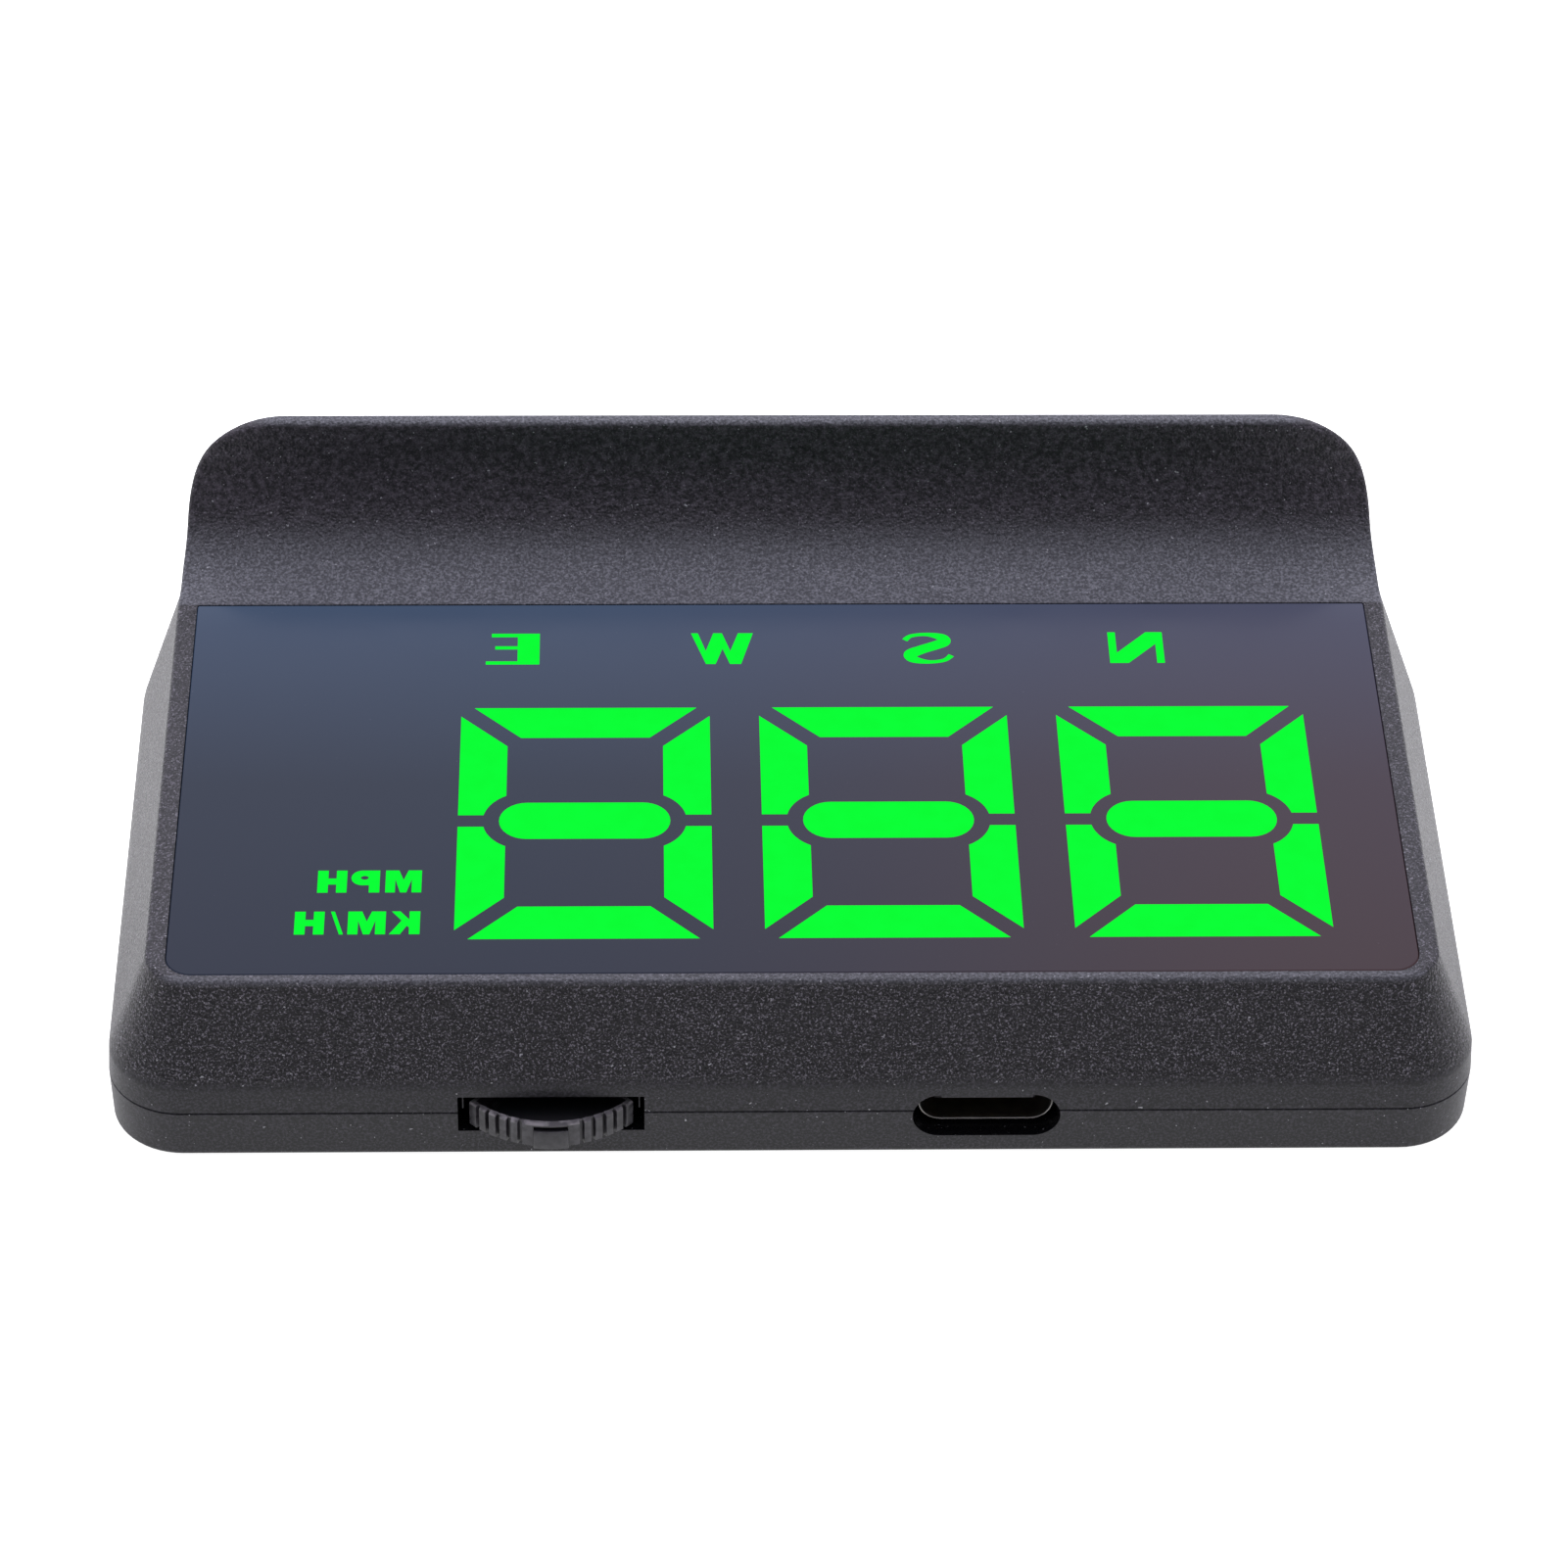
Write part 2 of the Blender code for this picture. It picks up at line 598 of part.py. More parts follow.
def chip(name, x, y, size, above):
    """A component on the board's top or underside: size is width, depth and height."""
    width, depth, tall = size
    y = y_from_front(y)
    if above:
        z0 = height(PCB_UNDERSIDE + PCB_THICKNESS) + GAP
        z1 = z0 + tall
    else:
        z1 = height(PCB_UNDERSIDE) - GAP
        z0 = z1 - tall
    outline = rounded_rectangle(x - width / 2, x + width / 2, y - depth / 2, y + depth / 2,
                                0.2, 0.2, 1)
    return prism(name, outline, z0, z1)


def round_chip(name, x, y, radius, tall):
    z1 = height(PCB_UNDERSIDE) - GAP
    return cylinder(name, x, y_from_front(y), z1 - tall, z1, radius, 24)


def segment_leds():
    for digit, centre in zip(("left", "middle", "right"), digit_centres()):
        for letter, points in segment_outlines(*centre).items():
            xs = [p[0] for p in points]
            ys = [p[1] for p in points]
            x, y = (min(xs) + max(xs)) / 2, (min(ys) + max(ys)) / 2 + CASE_DEPTH / 2
            led_body(chip(f"led_{digit}_{letter}", x, y, LED_SIZE, True))
    for name, row in UNIT_ROWS.items():
        led_body(chip(f"led_{name}", UNIT_X, row, LED_SIZE, True))


def electronics():
    finish(chip("gps_patch_antenna", -31.6, 27.0, (12, 12, 3.4), True), "ceramic", (0.6, 0.5, 0.38), 0.5)
    steel(chip("gps_module", -31.0, 30.0, (10.1, 9.7, 2.2), False))
    chip_resin(chip("microcontroller", 2.0, 26.0, (7, 7, 1.2), False))
    chip_resin(chip("led_driver", 16.0, 26.0, (6, 5, 1.4), False))
    chip_resin(chip("voltage_regulator", 24.0, 14.0, (6.5, 3.5, 1.6), False))
    steel(chip("crystal", -6.0, 30.0, (3.2, 2.5, 0.8), False))
    finish(chip("filter_capacitor", 24.0, 21.0, (3.5, 2.8, 1.9), False), "tantalum", (0.6, 0.35, 0.08), 0.4)
    black_plastic(round_chip("buzzer", 18.0, 38.5, 4.25, 2.6))
    steel(round_chip("backup_cell", -15.0, 24.0, 3.4, 2.1))
    chip_resin(chip("light_sensor", -31.6, 37.5, (2.0, 1.6, 0.8), True))


# ---------------------------------------------------------------- USB-C port
def usb_c_shell():
    width, tall = USB_SHELL
    front = y_from_front(USB_SETBACK)
    centre = height(USB_HEIGHT)
    shell = front_prism("usb_c_shell", stadium(USB_X, centre, width, tall), front, front + USB_DEPTH)
    bore = stadium(USB_X, centre, width - 2 * USB_WALL, tall - 2 * USB_WALL)
    cut(shell, front_prism("usb_shell_bore_cutter", bore, front - 1, front + USB_DEPTH + 1))
    return steel(shell)


def usb_c_tongue():
    """Contact tongue on the plastic plug that closes the shell's back."""
    width, tall = USB_SHELL
    front = y_from_front(USB_SETBACK)
    centre = height(USB_HEIGHT)
    margin = USB_WALL + 0.1
    plug = front_prism("usb_c_tongue", stadium(USB_X, centre, width - 2 * margin, tall - 2 * margin),
                       front + 6.0, front + USB_DEPTH - 0.1)
    unite(plug, block("usb_tongue_blade", USB_X - 3.35, USB_X + 3.35, front + 1.1, front + 6.5,
                      centre - 0.35, centre + 0.35))
    return black_plastic(plug)


# ---------------------------------------------------------------- thumb dial
def dial_place():
    """Pivot x and y, and the heights of the dial's underside and top."""
    low = height(DIAL_BOTTOM)
    return DIAL_X, y_from_front(DIAL_PIVOT), low, low + DIAL_THICKNESS


def rim_outline():
    """The ribbed front edge with its raised centre tab, then the inner edge of the rim."""
    half_tab, proud = DIAL_TAB
    tab = math.degrees(half_tab / DIAL_RADIUS)
    pitch = DIAL_RIB_PITCH
    groove = DIAL_RADIUS - DIAL_RIB_DEPTH
    right = [(DIAL_RADIUS + proud, 0.0), (DIAL_RADIUS + proud, tab), (DIAL_RADIUS, tab + 1)]
    for i in range(DIAL_RIBS):
        start = DIAL_RIB_START + i * pitch
        right += [(DIAL_RADIUS, start), (groove, start + 0.1 * pitch),
                  (groove, start + 0.35 * pitch), (DIAL_RADIUS, start + 0.45 * pitch)]
    right.append((DIAL_RADIUS, DIAL_HALF_ANGLE))
    edge = [(r, -a) for r, a in reversed(right[1:])] + right
    inner = [(DIAL_RIM_INSIDE, DIAL_HALF_ANGLE - i * DIAL_HALF_ANGLE / 5) for i in range(11)]
    return around_dial(edge + inner)


def around_dial(points):
    """Plan points from (radius, degrees from the middle of the tab) pairs."""
    x, y, _, _ = dial_place()
    return [(x + r * math.sin(math.radians(a)), y - r * math.cos(math.radians(a))) for r, a in points]


def dial_hollow_cutter():
    """The curved hollow in the dial's top, between its hub and its ribbed rim."""
    _, _, _, top = dial_place()
    near, depth = DIAL_HOLLOW
    far = DIAL_RADIUS - DIAL_RIM_WALL
    reach = DIAL_HALF_ANGLE - 2
    angles = [reach * (i - 6) / 6 for i in range(13)]
    outline = [(far, a) for a in angles] + [(near, a) for a in reversed(angles)]
    return prism("dial_hollow_cutter", around_dial(outline), top - depth, top + 1)


def dial_wheel():
    x, y, low, top = dial_place()
    rim = prism("dial_wheel", rim_outline(), low, top)
    behind = 0.4               # the web's straight back edge is this far behind the pin
    web = prism("dial_web", arc(x, y + behind, DIAL_RIM_INSIDE + behind + 0.3, 180, 360, 16),
                low + 0.45, top - 0.55)
    hub = cylinder("dial_hub", x, y, low + 0.45, top - 0.55, 2.2)
    bore = cylinder("dial_bore_cutter", x, y, low - 1, top + 1, PIN_RADIUS + RUNNING_CLEARANCE)
    unite(rim, web, hub)
    cut(rim, dial_hollow_cutter(), bore)
    return black_plastic(rim)


def dial_carriage():
    """Fork that holds the dial's pin and slides back when the dial is pressed."""
    x, y, low, top = dial_place()
    bottom, crown = low - 0.7, top + 0.5
    fork = block("dial_carriage", x - 1.9, x + 1.9, y - 2.0, y + 6.9, bottom, crown)
    mouth = block("carriage_mouth_cutter", x - 3, x + 3, y - 3, y + 4.2, low + 0.25, top - 0.35)
    pin_hole = cylinder("carriage_pin_cutter", x, y, bottom - 1, crown + 1,
                        PIN_RADIUS + RUNNING_CLEARANCE)
    cut(fork, mouth, pin_hole)
    return finish(fork, "black_nylon", (0.02, 0.02, 0.022), 0.45)


def dial_pivot_pin():
    x, y, low, top = dial_place()
    return steel(cylinder("dial_pivot_pin", x, y, low - 0.6, top + 0.4, PIN_RADIUS))


def dial_switch_base():
    """Channel soldered under the board, open to the front for the carriage."""
    x, y, low, top = dial_place()
    outer = [(-4.6, 4.3), (-2.1, 4.3), (-2.1, 8.2), (2.1, 8.2),
             (2.1, 4.3), (4.6, 4.3), (4.6, 9.6), (-4.6, 9.6)]
    base = prism("dial_switch_base", shifted(outer, x, y), low - 0.75, top + 0.55)
    return black_plastic(base)


def press_dome():
    """Snap dome between the carriage and the back of the switch base."""
    x, y, low, top = dial_place()
    middle = (low + top) / 2
    outline = arc(x, middle, 1.25, 0, 360, 20)[:-1]
    return steel(front_prism("press_dome", outline, y + 7.15, y + 7.95))


def centring_spring():
    """Leaf in the fork's mouth whose two arms push the dial back to its middle."""
    x, y, low, _ = dial_place()
    path = [(-4.3, 1.7), (-3.0, 3.0), (-1.0, 3.6), (1.0, 3.6), (3.0, 3.0), (4.3, 1.7)]
    outline = path + [(px, py + 0.25) for px, py in reversed(path)]
    return steel(prism("centring_spring", shifted(outline, x, y), low + 0.6, low + 1.3))


# ---------------------------------------------------------------- fasteners
def screw(name, x, y, seat, sizes):
    """Pan-headed screw driven upwards, its head's top face at the seat height."""
    shank, head, head_height, length = sizes
    y = y_from_front(y)
    rings = [(seat - head_height, arc(x, y, head * 0.85, 0, 360, 20)[:-1]),
             (seat - head_height * 0.5, arc(x, y, head, 0, 360, 20)[:-1]),
             (seat, arc(x, y, head, 0, 360, 20)[:-1]),
             (seat, arc(x, y, shank, 0, 360, 20)[:-1]),
             (seat + length, arc(x, y, shank, 0, 360, 20)[:-1])]
    body = loft(name, rings)
    arm, thin = head * 0.55, head * 0.14
    z0, z1 = seat - head_height - 1, seat - head_height * 0.4
    cross = [(arm, thin), (thin, thin), (thin, arm), (-thin, arm), (-thin, thin), (-arm, thin),
             (-arm, -thin), (-thin, -thin), (-thin, -arm), (thin, -arm), (thin, -thin), (arm, -thin)]
    cut(body, prism(f"{name}_recess_cutter", shifted(cross, x, y), z0, z1))
    return steel(body)


def fasteners():
    for name, (x, y) in CASE_SCREWS.items():
        screw(f"case_screw_{name}", x, y, height(COUNTERBORE) - GAP, CASE_SCREW)
    for name, (x, y) in PCB_SCREWS.items():
        screw(f"pcb_screw_{name}", x, y, height(PCB_UNDERSIDE) - GAP, PCB_SCREW)


def main():
    for obj in list(bpy.data.objects):
        bpy.data.objects.remove(obj, do_unlink=True)
    for build in (upper_housing, bottom_cover, non_slip_pad, display_lens, lens_gasket, segment_mask,
                  segment_diffuser, light_block, main_pcb, segment_leds, electronics, usb_c_shell,
                  usb_c_tongue, dial_wheel, dial_carriage, dial_pivot_pin, dial_switch_base,
                  press_dome, centring_spring, fasteners):
        build()


main()
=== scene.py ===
"""Looks for a dashboard head-up speedometer.

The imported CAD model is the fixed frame.  Around it this script builds the fine surfaces: the two
housings with their rounded edges, the smoked lens with its lit marks, the thumb dial, the USB-C
port, the pad and the screws.  Every piece and every carried-over CAD part gets a procedural
material.  Meshes are worked out in millimetres and become objects in metres.
"""
import json
from functools import cache
from math import (acos, asin, atan, cos, degrees, dist, exp, hypot, pi, radians, sin, sqrt, tan)

import bmesh
import bpy
from mathutils import Matrix, Vector


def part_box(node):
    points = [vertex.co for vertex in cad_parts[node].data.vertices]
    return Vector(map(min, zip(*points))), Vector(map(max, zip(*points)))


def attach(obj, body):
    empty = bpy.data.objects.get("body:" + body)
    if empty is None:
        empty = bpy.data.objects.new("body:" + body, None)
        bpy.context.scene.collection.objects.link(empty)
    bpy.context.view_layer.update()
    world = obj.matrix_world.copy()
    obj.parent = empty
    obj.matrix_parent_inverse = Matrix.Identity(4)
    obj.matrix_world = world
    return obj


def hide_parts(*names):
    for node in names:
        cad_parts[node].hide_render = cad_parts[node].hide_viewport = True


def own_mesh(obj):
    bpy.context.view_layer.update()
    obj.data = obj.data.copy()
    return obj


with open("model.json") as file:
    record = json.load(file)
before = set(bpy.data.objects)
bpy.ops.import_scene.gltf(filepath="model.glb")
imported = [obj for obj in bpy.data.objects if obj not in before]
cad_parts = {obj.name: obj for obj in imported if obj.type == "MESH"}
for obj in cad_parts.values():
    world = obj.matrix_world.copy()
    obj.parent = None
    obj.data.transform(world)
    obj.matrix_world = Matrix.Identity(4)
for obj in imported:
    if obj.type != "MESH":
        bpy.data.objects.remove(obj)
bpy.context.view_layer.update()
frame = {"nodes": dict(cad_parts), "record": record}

MM = 0.001


def span(node):
    """A CAD node's lowest and highest corners, in millimetres."""
    low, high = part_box(node)
    return Vector(low) / MM, Vector(high) / MM


COVER_LOW, COVER_HIGH = span("bottom_cover")
LENS_LOW, LENS_HIGH = span("display_lens")
DIAL_LOW, DIAL_HIGH = span("dial_wheel")
SHELL_LOW, SHELL_HIGH = span("usb_c_shell")
PAD_LOW, PAD_HIGH = span("non_slip_pad")
DIAL_AXIS = Vector(next(joint["pos_m"] for joint in frame["record"]["behaviour"]["joints"]
                        if joint["name"] == "dial_turn")) / MM

# Case: its box comes from the frame, and the rest repeats the CAD's driving dimensions
FRONT, BACK = COVER_LOW.y, COVER_HIGH.y
HALF_WIDTH = COVER_HIGH.x
UNDERSIDE = COVER_LOW.z
BEZEL = LENS_HIGH.z
TOP = UNDERSIDE + 21.8
CAD_GAP = 0.2
PARTING = span("upper_housing")[0].z - CAD_GAP / 2
SEAM = 0.1                     # the dark line between the two housings
BAND_TOP = UNDERSIDE + 5.85
BAND_INSET = 0.12
BAND_EASE = 0.25               # rows of faces this far to each side of the band's top
SLOPE_TILT = radians(21.3)
EDGE = 0.32                    # radius of the rounded edge around bezel and hood
FRONT_RADIUS = 5.0
BEZEL_CORNER = 3.0             # the front corners' radius where the skirt meets the bezel
BACK_RADIUS = 13.0
WALL = 1.6
SLOPE_WALL = 3.6               # from the case's outline to the hollow, at the top of the slope
COVER_FLOOR = 1.4
BACK_INSETS = (0.12, 0.4, 0.6)  # of the back wall, at the band, the bezel and the hood's top

# Hood
COVE_START = FRONT + 42.9
COVE_RADIUS = 8.3
COVE_SWEEP = radians(82)
HOOD_HALF = 41.7
SHOULDER = 4.8                 # height of each elliptical shoulder
SHOULDER_WIDTH = 6.95
HOOD_CORNER = 3.0
LIP_EDGE = 0.14                # radius of the lip's edge behind
LIP_FRONT_EDGE = 0.42
FLARE = 1.45                   # how fast the flank settles to its upright run
CORNER_FLARE = 0.9

# Display
LENS_CORNERS = (1.7, 0.15)     # radius at the front and at the back
LENS_EDGE = 0.1
LENS_SEAT_GAP = 0.06
WINDOW_MARGIN = 2.0
LENS_SHELF = 1.2               # thickness of the shelf under the lens
MARK_PROUD = 0.012
MARK_THICKNESS = 0.12
BAR = 3.2
BAR_SETBACK = 0.9
BAR_SPLIT = 1.2
DIGIT_SIZE = (16.95, 23.8)
DIGIT_PITCH = 20.33
DIGITS_CENTRE = (6.65, FRONT + 18.83)
MIDDLE_BAR = (11.45, 3.72)
MIDDLE_CLEARANCE = 1.1

ROUND = 48
CORNER_STEPS = 14


# ---- outlines ----
def arc(cx, cy, radius, start, end, steps):
    """Points on an arc, angles in degrees."""
    angles = [radians(start + (end - start) * i / steps) for i in range(steps + 1)]
    return [(cx + radius * cos(a), cy + radius * sin(a)) for a in angles]


def quarter(steps):
    """Angles from 0 to a right angle."""
    return [pi / 2 * i / steps for i in range(steps + 1)]


def rounded_rectangle(x0, x1, y0, y1, front_radius, back_radius, steps=CORNER_STEPS):
    return (arc(x0 + front_radius, y0 + front_radius, front_radius, 180, 270, steps)
            + arc(x1 - front_radius, y0 + front_radius, front_radius, 270, 360, steps)
            + arc(x1 - back_radius, y1 - back_radius, back_radius, 0, 90, steps)
            + arc(x0 + back_radius, y1 - back_radius, back_radius, 90, 180, steps))


def grown_outline(low, high, grow, front_radius, back_radius, steps=CORNER_STEPS):
    """The outline of a box, grown all round."""
    return rounded_rectangle(low.x - grow, high.x + grow, low.y - grow, high.y + grow,
                             front_radius, back_radius, steps)


def case_outline(inset):
    return grown_outline(COVER_LOW, COVER_HIGH, -inset, FRONT_RADIUS - inset, BACK_RADIUS - inset)


def lens_outline(grow, steps=8):
    front, back = LENS_CORNERS
    return grown_outline(LENS_LOW, LENS_HIGH, grow, max(front + grow, 0.3), max(back + grow, 0.1), steps)


def stadium(cx, cy, width, tall, steps=12):
    radius = tall / 2
    reach = width / 2 - radius
    return (arc(cx + reach, cy, radius, -90, 90, steps) + arc(cx - reach, cy, radius, 90, 270, steps))


def circle(cx, cy, radius, steps=ROUND):
    return arc(cx, cy, radius, 0, 360, steps)[:-1]


def shifted(points, dx, dy):
    return [(x + dx, y + dy) for x, y in points]


def scaled(points, sx, sy):
    return [(x * sx, y * sy) for x, y in points]


# ---- mesh making ----
def to_object(name, bm, smooth=35.0):
    """Turn a bmesh in millimetres into a smooth-shaded object in metres."""
    bmesh.ops.remove_doubles(bm, verts=bm.verts, dist=1e-4)
    bmesh.ops.recalc_face_normals(bm, faces=bm.faces)
    bmesh.ops.scale(bm, vec=(MM, MM, MM), verts=bm.verts)
    mesh = bpy.data.meshes.new(name)
    bm.to_mesh(mesh)
    bm.free()
    mesh.shade_smooth()
    mesh.set_sharp_from_angle(angle=radians(smooth))
    obj = bpy.data.objects.new(name, mesh)
    bpy.context.scene.collection.objects.link(obj)
    return obj


def skin(name, loops, smooth=35.0, ends=True):
    """A skin through loops of (x, y, z) points, with flat ends or joined end to end."""
    bm = bmesh.new()
    rows = [[bm.verts.new(point) for point in loop] for loop in loops]
    for near, far in zip(rows, rows[1:]):
        skin_loop(bm, near, far)
    if ends:
        bm.faces.new(list(reversed(rows[0])))
        bm.faces.new(rows[-1])
    else:
        skin_loop(bm, rows[-1], rows[0])
    return to_object(name, bm, smooth)


def loft(name, rings, smooth=35.0):
    """A closed skin through (x, y) outlines of equal length, each a pair of (z, points)."""
    return skin(name, [[(x, y, z) for x, y in points] for z, points in rings], smooth)


def skin_loop(bm, lower, upper):
    """Quads between two closed loops."""
    for i in range(len(lower)):
        j = (i + 1) % len(lower)
        bm.faces.new((lower[i], lower[j], upper[j], upper[i]))


def skin_strip(bm, first, second):
    """Quads between two open runs of vertices."""
    for i in range(len(first) - 1):
        corners = [first[i], first[i + 1], second[i + 1], second[i]]
        kept = [v for n, v in enumerate(corners) if v not in corners[:n]]
        if len(kept) > 2:
            bm.faces.new(kept)


def prism(name, outline, z0, z1):
    return loft(name, [(z0, outline), (z1, outline)])


def block(name, x0, x1, y0, y1, z0, z1):
    return prism(name, [(x0, y0), (x1, y0), (x1, y1), (x0, y1)], z0, z1)


def cylinder(name, x, y, z0, z1, radius, sides=ROUND):
    return prism(name, circle(x, y, radius, sides), z0, z1)


def cylinders(places, z0, z1, radius):
    """A cylinder at each place, to join or to cut with."""
    return [cylinder("tool", x, y, z0, z1, radius) for x, y in places]


def front_prism(name, rings, ends=True):
    """The same through (x, z) outlines, each a pair of (y, points)."""
    return skin(name, [[(x, y, z) for x, z in points] for y, points in rings], ends=ends)


def carve(target, cutters, operation="DIFFERENCE"):
    """Apply Booleans to a piece and delete the tools."""
    for tool in cutters:
        modifier = target.modifiers.new("carve", "BOOLEAN")
        modifier.operation = operation
        modifier.solver = "EXACT"
        modifier.object = tool
    apply_modifiers(target)
    for tool in cutters:
        bpy.data.objects.remove(tool, do_unlink=True)


def apply_modifiers(obj, smooth=35.0):
    graph = bpy.context.evaluated_depsgraph_get()
    old = obj.data
    obj.data = bpy.data.meshes.new_from_object(obj.evaluated_get(graph))
    obj.modifiers.clear()
    bpy.data.meshes.remove(old)
    obj.data.shade_smooth()
    obj.data.set_sharp_from_angle(angle=radians(smooth))


def weigh_normals(obj):
    """Keep flat faces flat beside rounded edges."""
    modifier = obj.modifiers.new("weighted normals", "WEIGHTED_NORMAL")
    modifier.mode = "FACE_AREA"
    modifier.weight = 100
    modifier.keep_sharp = True


def soften(obj, width, segments=3, angle=40.0):
    """A small rounded edge on every sharp corner."""
    modifier = obj.modifiers.new("edge", "BEVEL")
    modifier.width = width * MM
    modifier.segments = segments
    modifier.limit_method = "ANGLE"
    modifier.angle_limit = radians(angle)
    modifier.harden_normals = False
    apply_modifiers(obj, angle)


def place(obj, finish, slot, body="case", replaces=()):
    """Give a piece its material, its body and the CAD nodes it stands for.  The slot is not used."""
    obj.data.materials.clear()
    obj.data.materials.append(finish)
    weigh_normals(obj)
    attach(obj, body)
    if replaces:
        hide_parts(*replaces)


# ---- upper housing ----
SLOPE_TURN = pi / 2 - SLOPE_TILT
EDGE_FOOT = BEZEL - EDGE * (1 - cos(SLOPE_TURN))       # where the slope meets its rounded edge
EDGE_STEPS = 7


def slope_inset(z):
    """How far the skirt has moved in at a height."""
    if z <= BAND_TOP:
        return BAND_INSET * (z - PARTING) / (BAND_TOP - PARTING)
    return BAND_INSET + (z - BAND_TOP) * tan(SLOPE_TILT)


FOOT_INSET = slope_inset(EDGE_FOOT)
FLANK_FOOT = HALF_WIDTH - FOOT_INSET


def front_corner(inset):
    """The front corners' radius: it eases from the band's to the bezel's as the skirt moves in."""
    share = min(1.0, inset / FOOT_INSET)
    return FRONT_RADIUS + (BEZEL_CORNER - FRONT_RADIUS) * share


def back_inset(z):
    band, bezel, top = BACK_INSETS
    if z <= BEZEL:
        return band + (bezel - band) * max(0.0, z - BAND_TOP) / (BEZEL - BAND_TOP)
    return bezel + (top - bezel) * min(1.0, (z - BEZEL) / (TOP - SHOULDER - BEZEL))


def settle(z, fall):
    """1 at the hood's foot, falling to 0 above it."""
    return exp(-max(0.0, z - EDGE_FOOT) / fall)


def flank(z):
    """The hood's half width at a height below the shoulders."""
    return HOOD_HALF + (FLANK_FOOT - HOOD_HALF) * settle(z, FLARE)


def flank_turn(z):
    """How far the rounded edge turns before it runs into the flank."""
    return pi / 2 - atan((FLANK_FOOT - HOOD_HALF) / FLARE * settle(z, FLARE))


def hood_corner(z):
    return HOOD_CORNER + (BACK_RADIUS - FOOT_INSET - HOOD_CORNER) * settle(z, CORNER_FLARE)


def cove(z):
    """The hood's hollow face at a height: its y, and the direction into the plastic."""
    z = max(z, BEZEL)
    end_z = BEZEL + COVE_RADIUS * (1 - cos(COVE_SWEEP))
    if z < end_z:
        turn = acos(1 - (z - BEZEL) / COVE_RADIUS)
        y = COVE_START + COVE_RADIUS * sin(turn)
    else:
        turn = COVE_SWEEP
        y = COVE_START + COVE_RADIUS * sin(turn) + (z - end_z) / tan(turn)
    return y, (sin(turn), -cos(turn))


def hood_stations():
    """Places up the hood's outline: (x, z, normal, edge turn, edge radius, back corner radius)."""
    stations = []
    flank_end = acos((BEZEL + COVE_RADIUS - TOP + SHOULDER) / (COVE_RADIUS + EDGE))
    steps = 24
    for i in range(steps + 1):
        turn = flank_end * i / steps
        guess = BEZEL + COVE_RADIUS * (1 - cos(turn)) - EDGE * cos(turn)
        roll = flank_turn(guess)
        z = BEZEL + COVE_RADIUS * (1 - cos(turn)) - EDGE * (1 - cos(roll)) * cos(turn)
        if i == steps:
            z = TOP - SHOULDER
        stations.append((flank(z), z, (1.0, 0.0), roll, EDGE, hood_corner(z)))
    for turn in quarter(16)[1:]:
        corner = HOOD_CORNER + (LIP_EDGE - HOOD_CORNER) * sin(turn) ** 1.5
        edge = EDGE + (LIP_FRONT_EDGE - EDGE) * sin(turn)
        normal = Vector((cos(turn) / SHOULDER_WIDTH, sin(turn) / SHOULDER)).normalized()
        stations.append((HOOD_HALF - SHOULDER_WIDTH * (1 - cos(turn)),
                         TOP - SHOULDER * (1 - sin(turn)), tuple(normal), pi / 2, edge,
                         corner))
    return stations


def resample(points, steps):
    """Points at equal distances along a run."""
    lengths = [0.0]
    for a, b in zip(points, points[1:]):
        lengths.append(lengths[-1] + dist(a, b))
    found = []
    segment = 0
    for i in range(steps + 1):
        want = lengths[-1] * i / steps
        while segment < len(points) - 2 and lengths[segment + 1] < want:
            segment += 1
        share = (want - lengths[segment]) / max(lengths[segment + 1] - lengths[segment], 1e-9)
        a, b = points[segment], points[segment + 1]
        found.append(tuple(p + (q - p) * share for p, q in zip(a, b)))
    return found


REAR_STEPS = 22


def rear_run(y_start, y_back, corner):
    """(inset, y) pairs from a point on the flank, round the back corner, to the back wall."""
    centre = y_back - corner
    first = asin(max(0.0, min(1.0, (y_start - centre) / corner)))
    points = [(0.0, y_start)] if y_start < centre else []
    points += [(corner * (1 - cos(turn)), centre + corner * sin(turn))
               for turn in (first + (pi / 2 - first) * i / 60 for i in range(61))]
    return resample(points, REAR_STEPS)


def hood_row(station):
    """One station's run: from the cove, over the rounded edge, along the flank to the back wall."""
    x, z, (nx, nz), turn, edge, corner = station
    depth_end = edge * (1 - cos(turn))
    z_edge = z
    for _ in range(6):
        z_edge = z - depth_end * cove(z_edge)[1][1] * nx
    y_back = BACK - back_inset(z)
    y_cove, (into_y, into_z) = cove(z_edge)
    run = rear_run(y_cove + depth_end * into_y, y_back, corner)
    start = run[0][0]
    points = []
    for i in range(EDGE_STEPS + 1):
        a = turn * i / EDGE_STEPS
        inset = edge * (sin(turn) - sin(a))
        depth = edge * (1 - cos(a))
        y, _ = cove(z_edge - inset * nz)
        points.append((x - (start + inset) * nx, y + depth * into_y,
                       z_edge + depth * into_z * nx - (start + inset) * nz))
    for inset, y in run[1:]:
        points.append((x - inset * nx, y, z - inset * nz))
    return points


SIDE_STEPS = 5


def front_run(inset, z, back):
    """Front corner and side wall, from the front face to where the cove starts."""
    half = HALF_WIDTH - inset
    radius = front_corner(inset)
    points = arc(half - radius, FRONT + inset + radius, radius, 270, 360, CORNER_STEPS)
    corner = BACK_RADIUS - inset
    centre = BACK - back - corner
    first = BACK - BACK_RADIUS
    for i in range(SIDE_STEPS + 1):
        y = first + (COVE_START - first) * i / SIDE_STEPS
        beyond = max(0.0, y - centre)
        points.append((half - corner + sqrt(corner ** 2 - beyond ** 2), y))
    return [(x, y, z) for x, y in points]


